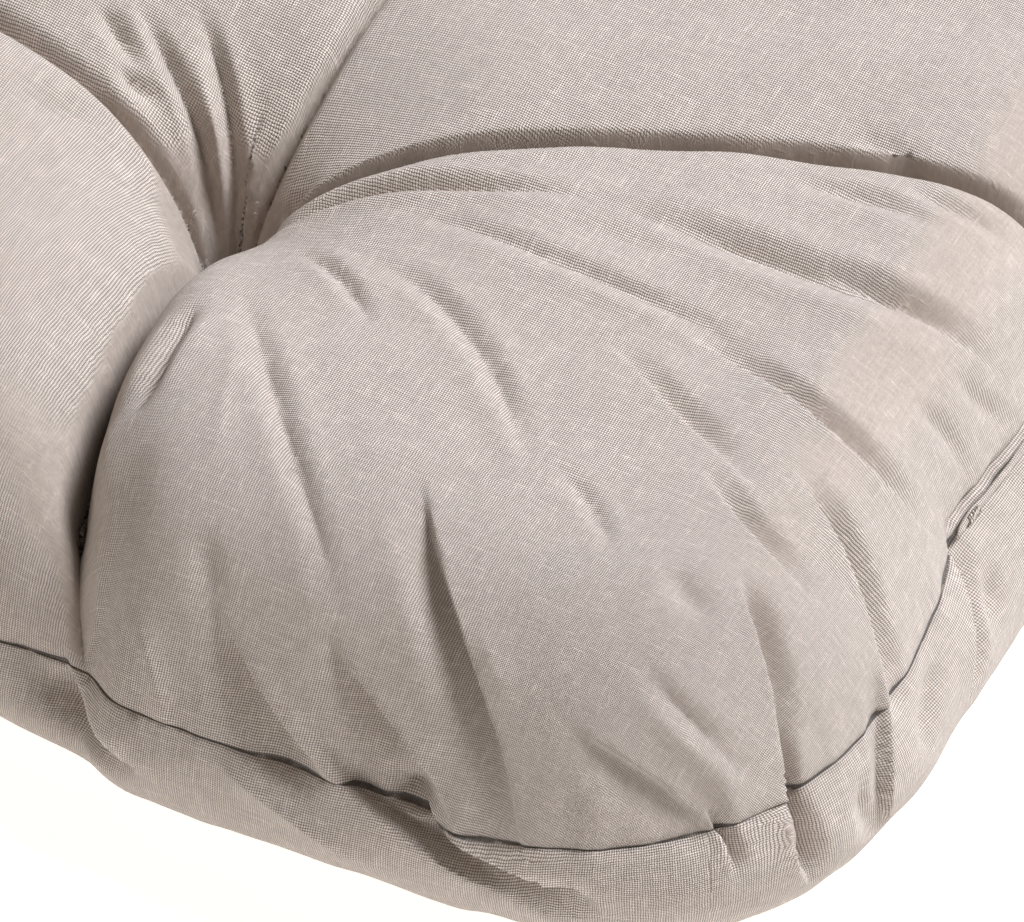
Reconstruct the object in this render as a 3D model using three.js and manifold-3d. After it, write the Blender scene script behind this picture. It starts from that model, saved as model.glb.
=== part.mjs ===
// A tufted bench cushion of plain cotton canvas, lying on its back on a flat surface.
// A crowned top panel is sewn to a curved border, and the border to a bottom panel. Six tufts in
// two rows pull the panels together, and the filled lobes between them meet in deep valleys.
// Millimetres: +X runs along the bench, +Y to its back, +Z up, and Z = 0 is the surface.

import * as THREE from 'three';
import { mergeVertices } from 'three/addons/utils/BufferGeometryUtils.js';
import Module from 'manifold-3d';

// Driving sizes of the three panels, measured at their seams.
const SEAM = { length: 1194, depth: 500, cornerRadius: 80 };
const BORDER = { roll: 28, leanAtTop: 30, leanAtBottom: 60 };
const CROWN = { rise: 53.5, width: 66, roundness: 2.15, fullness: 1.9 };
const BASE = { seamHeight: 8, turnedUp: 34, tuftDepth: 7, tuftSpread: 52 };
const GROOVE = { deep: 2, wide: 7 };

// At the two ends the border leans further in under its top seam: by corner right beside the
// corners, and by middle between the places that lie closer than near to the long centre line.
const END_LEAN = { corner: 14, middle: 26, far: 165, near: 115 };

// Tufts, and how deep each one draws the top panel in.
const TUFT_COLUMNS = [-395, 0, 395];
const TUFT_ROWS = [-120, 120];
const TUFT = { depth: 53, spread: 84 };

// How far a pull at a seam reaches into its panel, how sharply valleys blend, and how soon creases
// die out at the seam.
const PULL_REACH = 58;
const VALLEY_BLEND = 2.6;
const SEAM_FADE = 0.35;

// A crease fades in and out over this share of its run, and this much of it is left at its end.
const FOLD_ENDS = 0.2;
const FOLD_LEFT = 0.2;
const BELL_REACH = 2.5;
const LEAST_CREASE = 0.25;

// Valleys between the lobes. Each starts at a tuft (column, row) and runs to an offset from it in
// mm, bowed by two offsets on the way. mid and end are its depths past the tuft's own hollow and
// at its far end, or halfway where it joins two tufts. left and right are its half-widths as seen
// from the tuft.
const VALLEYS = [
  { column: 1, row: 0, bow: [[0, -50], [3, -86]], to: [31, -140], mid: 31, end: 30, left: 34, right: 44 },
  { column: 1, row: 0, bow: [[18, 34], [70, 53]], to: [205, 72], mid: 25, end: 9, left: 58, right: 34 },
  { column: 1, row: 0, bow: [[8, 40], [14, 90]], to: [4, 240], mid: 18, end: 11, left: 60, right: 60 },
  { column: 1, row: 0, bow: [[-60, 34], [-250, 30]], to: [-395, 0], mid: 18, end: 7, left: 52, right: 58 },
  { column: 0, row: 0, bow: [[3, -50], [6, -90]], to: [-16, -140], mid: 26, end: 25, left: 40, right: 42 },
  { column: 0, row: 0, bow: [[-10, 60], [12, 160]], to: [0, 240], mid: 19, end: 12, left: 60, right: 56 },
  { column: 0, row: 0, bow: [[-110, 40], [-300, 26]], to: [-395, 0], mid: 19, end: 8, left: 50, right: 60 },
  { column: -1, row: 0, bow: [[4, -50], [-8, -90]], to: [10, -140], mid: 27, end: 25, left: 42, right: 40 },
  { column: -1, row: 0, bow: [[-30, 30], [-90, 46]], to: [-205, 52], mid: 23, end: 10, left: 40, right: 54 },
  { column: -1, row: 0, bow: [[8, 70], [-6, 150]], to: [0, 240], mid: 18, end: 11, left: 58, right: 58 },
  { column: 1, row: 1, bow: [[0, 50], [8, 90]], to: [-12, 140], mid: 26, end: 24, left: 42, right: 40 },
  { column: 1, row: 1, bow: [[30, -26], [100, -38]], to: [205, -40], mid: 22, end: 10, left: 38, right: 56 },
  { column: 1, row: 1, bow: [[-90, -34], [-290, -38]], to: [-395, 0], mid: 18, end: 8, left: 58, right: 50 },
  { column: 0, row: 1, bow: [[-4, 50], [-2, 90]], to: [14, 140], mid: 27, end: 26, left: 40, right: 44 },
  { column: 0, row: 1, bow: [[-100, -42], [-310, -30]], to: [-395, 0], mid: 18, end: 7, left: 56, right: 52 },
  { column: -1, row: 1, bow: [[2, 52], [8, 92]], to: [-8, 140], mid: 27, end: 25, left: 40, right: 42 },
  { column: -1, row: 1, bow: [[-34, -30], [-99, -42]], to: [-205, -34], mid: 22, end: 9, left: 54, right: 40 },
];

// A valley's depth at its tuft, how far it takes to settle to mid, and its rounding at the bottom.
const VALLEY_START = 50;
const VALLEY_SETTLE = 24;
const VALLEY_BOTTOM = 2.5;

// Folds of the photographed corner, as offsets in mm from its tuft. deep is the depth of the
// crease, steep and soft are its half-widths right and left of its run.
const CORNER_TUFT = { column: 1, row: 0 };
const CORNER_FOLDS = [
  { from: [14, 4], bow: [[28, 17], [46, 23]], to: [98, 38], deep: 8, steep: 7, soft: 9 },
  { from: [-8, 18], bow: [[-14, 26], [-24, 36]], to: [-44, 58], deep: 9.5, steep: 8, soft: 9 },
  { from: [-14, 12], bow: [[-24, 20], [-36, 29]], to: [-66, 50], deep: 8, steep: 8, soft: 9 },
  { from: [-24, 14], bow: [[-32, 19], [-44, 27]], to: [-74, 42], deep: 5.5, steep: 7, soft: 9 },
  { from: [-3, -14], bow: [[-6, -34], [-2, -52]], to: [8, -74], deep: 7, steep: 6, soft: 9 },
  { from: [70, 26], bow: [[100, 26], [140, 24]], to: [192, 38], deep: 7, steep: 9, soft: 10 },
  { from: [58, 8], bow: [[92, 4], [140, -6]], to: [196, -8], deep: 7, steep: 8, soft: 9 },
  { from: [116, -24], bow: [[140, -34], [156, -50]], to: [196, -56], deep: 7, steep: 8, soft: 9 },
  { from: [18, 2], bow: [[28, -1], [38, -8]], to: [50, -24], deep: 7, steep: 7, soft: 9 },
  { from: [38, -6], bow: [[60, -14], [76, -30]], to: [102, -54], deep: 5.5, steep: 8, soft: 9 },
  { from: [22, -22], bow: [[34, -42], [50, -66]], to: [78, -98], deep: 5.5, steep: 9, soft: 11 },
  { from: [84, -70], bow: [[100, -86], [120, -102]], to: [146, -130], deep: 8, steep: 8, soft: 10 },
  { from: [62, -90], bow: [[82, -102], [100, -112]], to: [117, -130], deep: 7, steep: 8, soft: 10 },
  { from: [40, -96], bow: [[56, -110], [70, -118]], to: [88, -132], deep: 5.5, steep: 8, soft: 10 },
  { from: [34, -104], bow: [[40, -114], [46, -122]], to: [55, -134], deep: 4.5, steep: 7, soft: 8 },
  { from: [150, -66], bow: [[164, -78], [176, -84]], to: [186, -92], deep: 7, steep: 7, soft: 9 },
  { from: [126, -84], bow: [[142, -94], [158, -100]], to: [176, -106], deep: 5.5, steep: 7, soft: 9 },
];

// Pleats that fan out from every other tuft: how many, how long and how deep.
const FAN = { pleats: 9, start: 12, length: 84, deep: 6.5, steep: 8, soft: 12, uneven: 0.35, turned: 0.22 };

// Pulls of the seams towards the middle, by place along them: at is counted in mm from the start
// of the photographed corner's arc and grows anticlockwise. in is the pull of the top seam, under
// that of the bottom seam, down the dip, before and after the half-widths on the two sides.
const FRONT = (x) => x - (SEAM.length / 2 - SEAM.cornerRadius);
const QUARTER = (Math.PI / 2) * SEAM.cornerRadius;
const RIGHT = (y) => QUARTER + SEAM.depth / 2 - SEAM.cornerRadius + y;
const BACK = (x) => 2 * QUARTER + SEAM.depth - 2 * SEAM.cornerRadius - FRONT(x);
const LEFT = (y) => 2 * QUARTER + SEAM.depth + SEAM.length - 4 * SEAM.cornerRadius + RIGHT(-y);
const SEAM_PULLS = [
  { at: FRONT(420), in: 9.5, under: 2, down: 6, before: 38, after: 7 },
  { at: FRONT(384), in: 0, under: 8, down: 0, before: 44, after: 26 },
  { at: FRONT(-14), in: 10, under: 6, down: 6, before: 16, after: 28 },
  { at: FRONT(-386), in: 9, under: 6, down: 6, before: 26, after: 14 },
  { at: BACK(384), in: 9, under: 6, down: 6, before: 16, after: 26 },
  { at: BACK(12), in: 10, under: 6, down: 6, before: 26, after: 15 },
  { at: BACK(-402), in: 9, under: 6, down: 6, before: 14, after: 28 },
  { at: RIGHT(-123), in: 3, under: 0, down: 1.5, before: 8, after: 20 },
  { at: RIGHT(-36), in: 3, under: 1, down: 3, before: 24, after: 24 },
  { at: RIGHT(82), in: 4, under: 2, down: 3, before: 22, after: 22 },
  { at: LEFT(70), in: 4, under: 2, down: 3, before: 22, after: 22 },
  { at: LEFT(-88), in: 3, under: 1, down: 3, before: 24, after: 24 },
  { at: FRONT(532), in: 3.5, under: 5, down: 0, before: 46, after: 50 },
  { at: FRONT(510), in: 3, under: 1, down: 1.5, before: 7, after: 7 },
  { at: 26, in: 3, under: 1, down: 1.5, before: 7, after: 7 },
  { at: 69, in: 3, under: 1, down: 1, before: 6, after: 6 },
  { at: 85, in: 3, under: 1, down: 1, before: 6, after: 6 },
  { at: RIGHT(-171), in: 2.5, under: 0, down: 1, before: 6, after: 6 },
];
const DRAWN_IN = { length: 5, depth: 2 };

// Slanted folds in the border: they run down it from one place along the seam to another.
const BORDER_FOLDS = [
  { top: FRONT(422), foot: FRONT(480), deep: 3.5, wide: 8 },
  { top: FRONT(450), foot: FRONT(512), deep: 4, wide: 8 },
  { top: FRONT(482), foot: FRONT(540), deep: 4, wide: 8 },
  { top: FRONT(510), foot: FRONT(556), deep: 4.5, wide: 8 },
  { top: 28, foot: 38, deep: 3, wide: 7 },
  { top: 85, foot: 88, deep: 4.5, wide: 6 },
  { top: RIGHT(-171), foot: RIGHT(-173), deep: 2.5, wide: 6 },
  { top: RIGHT(-123), foot: RIGHT(-128), deep: 1.5, wide: 8 },
];
const PUCKERS = { pitch: 62, deep: 3.2, wide: 8, slant: 26, uneven: 0.35, from: RIGHT(-90), to: FRONT(400) };
const BORDER_ENDS = 0.14;

// Soft lumps of the filling in the top panel.
const LUMPS = { high: 1.8, long: 92, across: 55, slant: 0.4 };

// Closing seam: the turned-in edge that stands up along the right end, past the corner.
const LIP = { from: -124, to: 128, thick: 3.6, proud: 0.9, steps: 26, sides: 6, clear: 0.3 };

// How finely curves and faces follow the shape.
const CURVE_PIECES = { valley: 20, fold: 10 };
const WELD = 1e-3;
const FIRST_SPACING = { along: 34, across: 36, down: 15 };
const STEP = { tolerance: 1.25, underside: 2.2, elsewhere: 1.9, rounds: 10 };
const SPLIT_SHARES = [0.5, 0.4, 0.6, 0.3, 0.7];
const SHORTEST = { corner: 5, elsewhere: 13 };
const FINEST = { x: 484, y: -150, reach: 170 };

const HALF_X = SEAM.length / 2;
const HALF_Y = SEAM.depth / 2;
const ARC_X = HALF_X - SEAM.cornerRadius;
const ARC_Y = HALF_Y - SEAM.cornerRadius;
const PERIMETER = 4 * (ARC_X + ARC_Y + QUARTER);
const LEAN_TOP = THREE.MathUtils.degToRad(BORDER.leanAtTop);
const LEAN_BOTTOM = THREE.MathUtils.degToRad(BORDER.leanAtBottom);
const BORDER_CENTRE = BASE.seamHeight + BORDER.roll * Math.sin(LEAN_BOTTOM);
const CROWN_HEIGHT = BORDER_CENTRE + BORDER.roll * Math.sin(LEAN_TOP) + CROWN.rise;
const BORDER_WIDTH = BORDER.roll * (LEAN_TOP + LEAN_BOTTOM);

const clamp = THREE.MathUtils.clamp;
const smooth = (t) => THREE.MathUtils.smoothstep(t, 0, 1);
const bell = (t) => Math.exp(-t * t);
const wrap = (at) => ((at % PERIMETER) + PERIMETER) % PERIMETER;

// An unevenness from -1 to 1 that is the same each time for the same counters.
const uneven = (i, j = 0) => Math.sin(12.9 * i + 7.7 * j + 0.6);

// A filled edge rises like a quarter circle: 0 at its seam, 1 and level a full width away.
function puff(t) {
  const rest = 1 - clamp(t, 0, 1);
  return Math.sqrt(1 - rest * rest);
}

// A valley between two filled edges, 1 at its narrow rounded bottom and 0 a full width away.
function dip(distance, wide) {
  const bottom = Math.hypot(wide, VALLEY_BOTTOM) - VALLEY_BOTTOM;
  return 1 - puff((Math.hypot(distance, VALLEY_BOTTOM) - VALLEY_BOTTOM) / bottom);
}

// Distance between two places along the closed seam.
function along(a, b) {
  const gap = wrap(a - b);
  return gap > PERIMETER / 2 ? gap - PERIMETER : gap;
}

// A fold's run in plan, as a curve cut into short straight pieces.
function run(from, bow, to, pieces) {
  const [a, b, c, d] = [from, ...bow, to].map(([x, y]) => new THREE.Vector3(x, y, 0));
  const points = new THREE.CubicBezierCurve3(a, b, c, d).getPoints(pieces);
  const reach = new THREE.Box3().setFromPoints(points);
  return { points, reach };
}

// Whether a point is within a margin of the box around a run.
function near({ reach: { min, max } }, x, y, margin) {
  return x > min.x - margin && x < max.x + margin && y > min.y - margin && y < max.y + margin;
}

// Where a point lies beside a run: its distance, its side and how far along it is, from 0 to 1.
function beside({ points }, x, y) {
  let best = { distance: Infinity, side: 1, done: 0 };
  for (let i = 0; i + 1 < points.length; i += 1) {
    const [a, b] = [points[i], points[i + 1]];
    const [dx, dy] = [b.x - a.x, b.y - a.y];
    const part = clamp(((x - a.x) * dx + (y - a.y) * dy) / (dx * dx + dy * dy), 0, 1);
    const [px, py] = [x - a.x - part * dx, y - a.y - part * dy];
    const distance = Math.hypot(px, py);
    if (distance < best.distance) {
      best = { distance, side: Math.sign(dx * py - dy * px) || 1, done: (i + part) / (points.length - 1) };
    }
  }
  return best;
}

const tufts = TUFT_COLUMNS.flatMap((x) => TUFT_ROWS.map((y) => ({ x, y })));
const tuftAt = ({ column, row }) => ({ x: TUFT_COLUMNS[column + 1], y: TUFT_ROWS[row] });
const shift = ([dx, dy], tuft) => [tuft.x + dx, tuft.y + dy];

const valleys = VALLEYS.map((valley) => {
  const tuft = tuftAt(valley);
  const from = [tuft.x, tuft.y];
  const bow = valley.bow.map((offset) => shift(offset, tuft));
  const lane = run(from, bow, shift(valley.to, tuft), CURVE_PIECES.valley);
  const long = lane.points[0].distanceTo(lane.points.at(-1));
  const joins = tufts.some(({ x, y }) => lane.points.at(-1).distanceTo({ x, y, z: 0 }) < 1);
  return { ...valley, lane, long, joins };
});

function foldFrom(row, tuft) {
  const bow = row.bow.map((offset) => shift(offset, tuft));
  return { ...row, lane: run(shift(row.from, tuft), bow, shift(row.to, tuft), CURVE_PIECES.fold) };
}

// Pleats of one tuft, fanned out between its valleys and uneven in length and turn.
function fanOf(tuft, index) {
  return Array.from({ length: FAN.pleats }, (unused, i) => {
    const odd = FAN.uneven * uneven(i, index);
    const turn = (2 * Math.PI * (i + odd)) / FAN.pleats;
    const point = (reach, bend) => [reach * Math.cos(turn + bend), reach * Math.sin(turn + bend)];
    const long = FAN.length * (1 + odd);
    const bow = [point(long / 3, odd / 3), point((2 * long) / 3, FAN.turned / 2)];
    const ends = { from: point(FAN.start, 0), to: point(long, FAN.turned) };
    return foldFrom({ ...FAN, ...ends, bow, deep: FAN.deep * (1 - odd) }, tuft);
  });
}

const cornerTuft = tuftAt(CORNER_TUFT);
const folds = [
  ...CORNER_FOLDS.map((row) => foldFrom(row, cornerTuft)),
  ...tufts.flatMap((tuft, i) => (tuft.x === cornerTuft.x && tuft.y === cornerTuft.y ? [] : fanOf(tuft, i))),
];

// The nearest place of the seam to a point in plan: along it, how far in, and its outward normal.
function seamNear(x, y) {
  const [qx, qy] = [Math.abs(x) - ARC_X, Math.abs(y) - ARC_Y];
  const [sx, sy] = [x < 0 ? -1 : 1, y < 0 ? -1 : 1];
  if (qx > 0 && qy > 0) {
    const far = Math.hypot(qx, qy);
    const turn = SEAM.cornerRadius * (sx * sy < 0 ? Math.atan2(qx, qy) : Math.atan2(qy, qx));
    const corner = sy < 0 ? (sx > 0 ? 0 : LEFT(-ARC_Y)) : sx > 0 ? RIGHT(ARC_Y) : BACK(-ARC_X);
    const at = corner + turn;
    return { at, inside: SEAM.cornerRadius - far, normal: [(sx * qx) / far, (sy * qy) / far] };
  }
  if (qx > qy) return { at: sx > 0 ? RIGHT(y) : LEFT(y), inside: SEAM.cornerRadius - qx, normal: [sx, 0] };
  return { at: sy < 0 ? FRONT(x) : BACK(x), inside: SEAM.cornerRadius - qy, normal: [0, sy] };
}

// How far both seams are drawn in, how far the top one dips and how the border leans at a place.
function pullAt(at, normal, x, y) {
  const middleX = Math.cos((Math.PI / 2) * clamp(x / HALF_X, -1, 1));
  const middleY = Math.cos((Math.PI / 2) * clamp(y / HALF_Y, -1, 1));
  let above = DRAWN_IN.length * middleX * Math.abs(normal[1]);
  above += DRAWN_IN.depth * middleY * Math.abs(normal[0]);
  let [below, down] = [0, 0];
  for (const pull of SEAM_PULLS) {
    const gap = along(at, pull.at);
    const share = bell(gap / (gap < 0 ? pull.before : pull.after));
    above += pull.in * share;
    below += pull.under * share;
    down += pull.down * share;
  }
  const middle = smooth((END_LEAN.far - Math.abs(y)) / (END_LEAN.far - END_LEAN.near));
  const more = END_LEAN.corner + (END_LEAN.middle - END_LEAN.corner) * middle;
  const lean = LEAN_TOP + THREE.MathUtils.degToRad(more) * normal[0] ** 2;
  return { above, below, down, lean };
}

// The depth of one valley below the lobes beside it.
function valleyDepth(valley, x, y) {
  if (!near(valley.lane, x, y, Math.max(valley.left, valley.right))) return 0;
  const { distance, side, done } = beside(valley.lane, x, y);
  const wide = side > 0 ? valley.left : valley.right;
  if (distance >= wide) return 0;
  const share = valley.joins ? 2 * Math.min(done, 1 - done) : done;
  const away = (valley.joins ? valley.long / 2 : valley.long) * share;
  const deep = valley.mid + (valley.end - valley.mid) * share;
  return (deep + (VALLEY_START - valley.mid) * Math.exp(-away / VALLEY_SETTLE)) * dip(distance, wide);
}

// The depth of one crease, faded out at both ends.
function foldDepth(fold, x, y) {
  if (!near(fold.lane, x, y, BELL_REACH * Math.max(fold.steep, fold.soft))) return 0;
  const { distance, side, done } = beside(fold.lane, x, y);
  const ends = Math.min(1, done / FOLD_ENDS, (1 - done) / FOLD_ENDS + FOLD_LEFT);
  return fold.deep * Math.max(ends, 0) * bell(distance / (side > 0 ? fold.soft : fold.steep));
}

// Height of the top panel above the surface, where its seam lies at a given height.
function topHeight(x, y, inside, seam) {
  const rest = 1 - clamp(inside / CROWN.width, 0, 1);
  const edge = (1 - rest ** CROWN.roundness) ** (1 / CROWN.fullness);
  let deep = 0;
  for (const valley of valleys) deep += valleyDepth(valley, x, y) ** VALLEY_BLEND;
  for (const tuft of tufts) {
    deep += (TUFT.depth * dip(Math.hypot(x - tuft.x, y - tuft.y), TUFT.spread)) ** VALLEY_BLEND;
  }
  let creases = 0;
  for (const fold of folds) creases += foldDepth(fold, x, y);
  const lumps = LUMPS.high * Math.sin(x / LUMPS.long) * Math.sin((y + LUMPS.slant * x) / LUMPS.across);
  const hollow = deep ** (1 / VALLEY_BLEND);
  const fade = clamp(inside / (CROWN.width * SEAM_FADE), 0, 1);
  const open = fade * clamp(1 - hollow / TUFT.depth, LEAST_CREASE, 1);
  return seam + edge * (CROWN_HEIGHT - seam + lumps - hollow) - creases * open;
}

// The same for the bottom panel: flat, but turned up to its seam and drawn up at the tufts.
function bottomHeight(x, y, inside, seam) {
  let height = seam * (1 - clamp(inside / BASE.turnedUp, 0, 1)) ** 2;
  for (const tuft of tufts) {
    const away = Math.hypot(x - tuft.x, y - tuft.y);
    height = Math.max(height, BASE.tuftDepth * (1 - puff(away / BASE.tuftSpread)));
  }
  return height;
}

// A point of the square from -1 to 1 each way, laid out on the round-cornered panel.
function panelPoint(u, v) {
  const [x, y] = [u * HALF_X, v * HALF_Y];
  const [p, q] = [(Math.abs(x) - ARC_X) / SEAM.cornerRadius, (Math.abs(y) - ARC_Y) / SEAM.cornerRadius];
  if (p <= 0 || q <= 0) return [x, y];
  const [big, small] = [Math.max(p, q), Math.min(p, q)];
  const turn = (Math.PI / 4) * (small / big);
  const [long, short] = [big * Math.cos(turn), big * Math.sin(turn)];
  const [a, b] = p >= q ? [long, short] : [short, long];
  return [Math.sign(x) * (ARC_X + a * SEAM.cornerRadius), Math.sign(y) * (ARC_Y + b * SEAM.cornerRadius)];
}

// How deep the border's slanted folds are at a place along it and a share of the way down it.
function borderFold(at, share) {
  let deep = 0;
  for (const fold of BORDER_FOLDS) {
    const lane = fold.top + (fold.foot - fold.top) * share;
    deep += fold.deep * bell(along(at, lane) / fold.wide);
  }
  const past = wrap(at - PUCKERS.from) / PUCKERS.pitch;
  const count = Math.floor(wrap(PUCKERS.to - PUCKERS.from) / PUCKERS.pitch);
  for (let i = Math.max(0, Math.floor(past) - 1); i < Math.min(count, past + 2); i += 1) {
    const odd = PUCKERS.uneven * uneven(i);
    const slope = PUCKERS.slant * uneven(i, 1) * (share - 0.5);
    const lane = PUCKERS.from + PUCKERS.pitch * (i + odd) + slope;
    deep += PUCKERS.deep * (1 + odd) * bell(along(at, lane) / PUCKERS.wide);
  }
  return deep * clamp(share / BORDER_ENDS, 0, 1) * clamp((1 - share) / BORDER_ENDS, 0, 1);
}

// The surface over a box: w is 1 on the top panel, -1 on the bottom panel and between on the border.
function surfacePoint([u, v, w]) {
  const [x, y] = panelPoint(u, v);
  const { at, inside, normal } = seamNear(x, y);
  const pull = pullAt(at, normal, x, y);
  const share = (1 - clamp(w, -1, 1)) / 2;
  const lean = pull.lean - share * (LEAN_TOP + LEAN_BOTTOM);
  const out = BORDER.roll * (Math.cos(lean) - Math.cos(LEAN_TOP));
  const move = pull.above * (1 - share) + pull.below * share - out;
  const seam = BORDER_CENTRE + BORDER.roll * Math.sin(lean) - pull.down * (1 - share);
  const hold = clamp(1 - inside / PULL_REACH, 0, 1) ** 2;
  const at3 = (moved, height) => new THREE.Vector3(x - normal[0] * moved, y - normal[1] * moved, height);
  if (w >= 1) {
    const grooved = move * hold + GROOVE.deep * bell(inside / GROOVE.wide);
    return at3(grooved, topHeight(x, y, Math.max(inside, 0), seam));
  }
  if (w <= -1) return at3(move * hold, bottomHeight(x, y, Math.max(inside, 0), seam));
  return at3(move + borderFold(at, share) + GROOVE.deep * bell((BORDER_WIDTH * share) / GROOVE.wide), seam);
}

// Triangles over the box, wound to face out, with corners shared between the faces.
function boxTriangles() {
  const counts = [
    Math.round(SEAM.length / FIRST_SPACING.along),
    Math.round(SEAM.depth / FIRST_SPACING.across),
    Math.round(BORDER_WIDTH / FIRST_SPACING.down),
  ];
  const places = [];
  const known = new Map();
  const place = (point) => {
    const key = point.join();
    if (!known.has(key)) known.set(key, places.push(point) - 1);
    return known.get(key);
  };
  const spot = (axis, i) => (2 * i) / counts[axis] - 1;
  const triangles = [];
  for (let axis = 0; axis < 3; axis += 1) {
    const [a, b] = [(axis + 1) % 3, (axis + 2) % 3];
    for (const side of [-1, 1]) {
      for (let i = 0; i < counts[a]; i += 1) {
        for (let j = 0; j < counts[b]; j += 1) {
          const corner = (di, dj) => {
            const point = [0, 0, 0];
            point[axis] = side;
            point[a] = spot(a, i + di);
            point[b] = spot(b, j + dj);
            return place(point);
          };
          const ring = [corner(0, 0), corner(1, 0), corner(1, 1), corner(0, 1)];
          if (side < 0) ring.reverse();
          const cut = (i + j) % 2;
          triangles.push([ring[cut], ring[cut + 1], ring[cut + 2]]);
          triangles.push([ring[cut], ring[cut + 2], ring[(cut + 3) % 4]]);
        }
      }
    }
  }
  return { places, triangles };
}

const partway = (a, b, share) => a.map((value, i) => value + (b[i] - value) * share);
const edgeKey = (a, b) => (a < b ? `${a}_${b}` : `${b}_${a}`);

// Splits the edges that miss the true shape by more than the tolerance, where they miss it most,
// and the longest edge of each triangle that they belong to, until every edge fits.
function refine({ places, triangles }) {
  const points = places.map(surfacePoint);
  const tested = new Map();
  let faces = triangles;
  for (let round = 0; round < STEP.rounds; round += 1) {
    const test = (a, b) => {
      const key = edgeKey(a, b);
      if (tested.has(key)) return tested.get(key);
      const best = { miss: 0, share: 0.5 };
      for (const share of SPLIT_SHARES) {
        const chord = points[a].clone().lerp(points[b], share);
        const miss = surfacePoint(partway(places[a], places[b], share)).distanceTo(chord);
        if (miss > best.miss) Object.assign(best, { miss, share });
      }
      const corner = Math.hypot(points[a].x - FINEST.x, points[a].y - FINEST.y) < FINEST.reach;
      const under = places[a][2] < 0 && places[b][2] < 0;
      const allowed = STEP.tolerance * (under ? STEP.underside : 1) * (corner ? 1 : STEP.elsewhere);
      const long = points[a].distanceTo(points[b]) > SHORTEST[corner ? 'corner' : 'elsewhere'];
      const found = { from: a, share: best.share, open: long && best.miss > allowed };
      tested.set(key, found);
      return found;
    };
    const marked = new Set();
    for (const [a, b, c] of faces) {
      for (const [p, q] of [[a, b], [b, c], [c, a]]) if (test(p, q).open) marked.add(edgeKey(p, q));
    }
    if (!marked.size) break;
    for (let before = -1; before !== marked.size; ) {
      before = marked.size;
      for (const face of faces) {
        const edges = face.map((p, i) => [p, face[(i + 1) % 3]]);
        if (!edges.some(([p, q]) => marked.has(edgeKey(p, q)))) continue;
        const lengths = edges.map(([p, q]) => points[p].distanceTo(points[q]));
        marked.add(edgeKey(...edges[lengths.indexOf(Math.max(...lengths))]));
      }
    }
    const middles = new Map();
    const middle = (a, b) => {
      const key = edgeKey(a, b);
      if (!marked.has(key)) return -1;
      if (!middles.has(key)) {
        const { from, share } = test(a, b);
        const to = from === a ? b : a;
        const place = partway(places[from], places[to], share);
        middles.set(key, places.push(place) - 1);
        points.push(surfacePoint(place));
      }
      return middles.get(key);
    };
    faces = faces.flatMap((face) => splitFace(face, middle, points));
  }
  return { points, faces };
}

// One triangle cut at the midpoints of its marked edges, its longest edge first.
function splitFace(face, middle, points) {
  const lengths = face.map((p, i) => points[p].distanceTo(points[face[(i + 1) % 3]]));
  const first = lengths.indexOf(Math.max(...lengths));
  const [a, b, c] = [face[first], face[(first + 1) % 3], face[(first + 2) % 3]];
  const [ab, bc, ca] = [middle(a, b), middle(b, c), middle(c, a)];
  if (ab < 0) return [face];
  const left = ca < 0 ? [[a, ab, c]] : [[a, ab, ca], [ab, c, ca]];
  const right = bc < 0 ? [[ab, b, c]] : [[ab, b, bc], [ab, bc, c]];
  return [...left, ...right];
}

// A mesh geometry from a flat list of coordinates and a flat list of face corners.
function geometryOf(coordinates, corners) {
  const geometry = new THREE.BufferGeometry();
  geometry.setAttribute('position', new THREE.Float32BufferAttribute(coordinates, 3));
  geometry.setIndex(corners);
  geometry.computeVertexNormals();
  return geometry;
}

function cushionGeometry() {
  const { points, faces } = refine(boxTriangles());
  return geometryOf(points.flatMap((point) => point.toArray()), faces.flat());
}

// The lip's line: along the top seam, standing a little proud of the panels that meet there.
function lipCurve() {
  const points = [];
  for (let i = 0; i <= LIP.steps; i += 1) {
    const y = LIP.from + ((LIP.to - LIP.from) * i) / LIP.steps;
    const at = surfacePoint([1, y / HALF_Y, 1]);
    points.push(at.add(new THREE.Vector3(LIP.proud, 0, LIP.proud)));
  }
  return new THREE.CatmullRomCurve3(points);
}

// A solid from a mesh whose corners are merged, and a mesh geometry back from a solid.
function solidFrom(wasm, geometry) {
  const bare = geometry.clone();
  bare.deleteAttribute('normal');
  bare.deleteAttribute('uv');
  const merged = mergeVertices(bare, WELD);
  const mesh = new wasm.Mesh({
    numProp: 3,
    vertProperties: merged.attributes.position.array,
    triVerts: new Uint32Array(merged.index.array),
  });
  return new wasm.Manifold(mesh);
}

function geometryFrom(solid) {
  const { vertProperties, triVerts } = solid.getMesh();
  return geometryOf(vertProperties, [...triVerts]);
}

// The lip seated on the cushion: a round edge, less the cushion grown by the lip's clearance.
function lipGeometry(wasm, cushion) {
  const section = new THREE.Shape();
  section.absarc(0, 0, LIP.thick / 2, 0, 2 * Math.PI);
  const tube = new THREE.ExtrudeGeometry(section, {
    steps: LIP.steps,
    curveSegments: LIP.sides,
    bevelEnabled: false,
    extrudePath: lipCurve(),
  });
  const grown = cushion.clone();
  const { position, normal } = grown.attributes;
  const outward = new THREE.Vector3();
  for (let i = 0; i < position.count; i += 1) {
    outward.fromBufferAttribute(normal, i).multiplyScalar(LIP.clear);
    const { x, y, z } = outward.add(new THREE.Vector3().fromBufferAttribute(position, i));
    position.setXYZ(i, x, y, z);
  }
  return geometryFrom(solidFrom(wasm, tube).subtract(solidFrom(wasm, grown)));
}

function canvas(color) {
  return new THREE.MeshStandardMaterial({ color, roughness: 0.92, metalness: 0 });
}

function part(name, geometry, material) {
  const mesh = new THREE.Mesh(geometry, material);
  mesh.name = name;
  return mesh;
}

const wasm = await Module();
wasm.setup();

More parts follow.
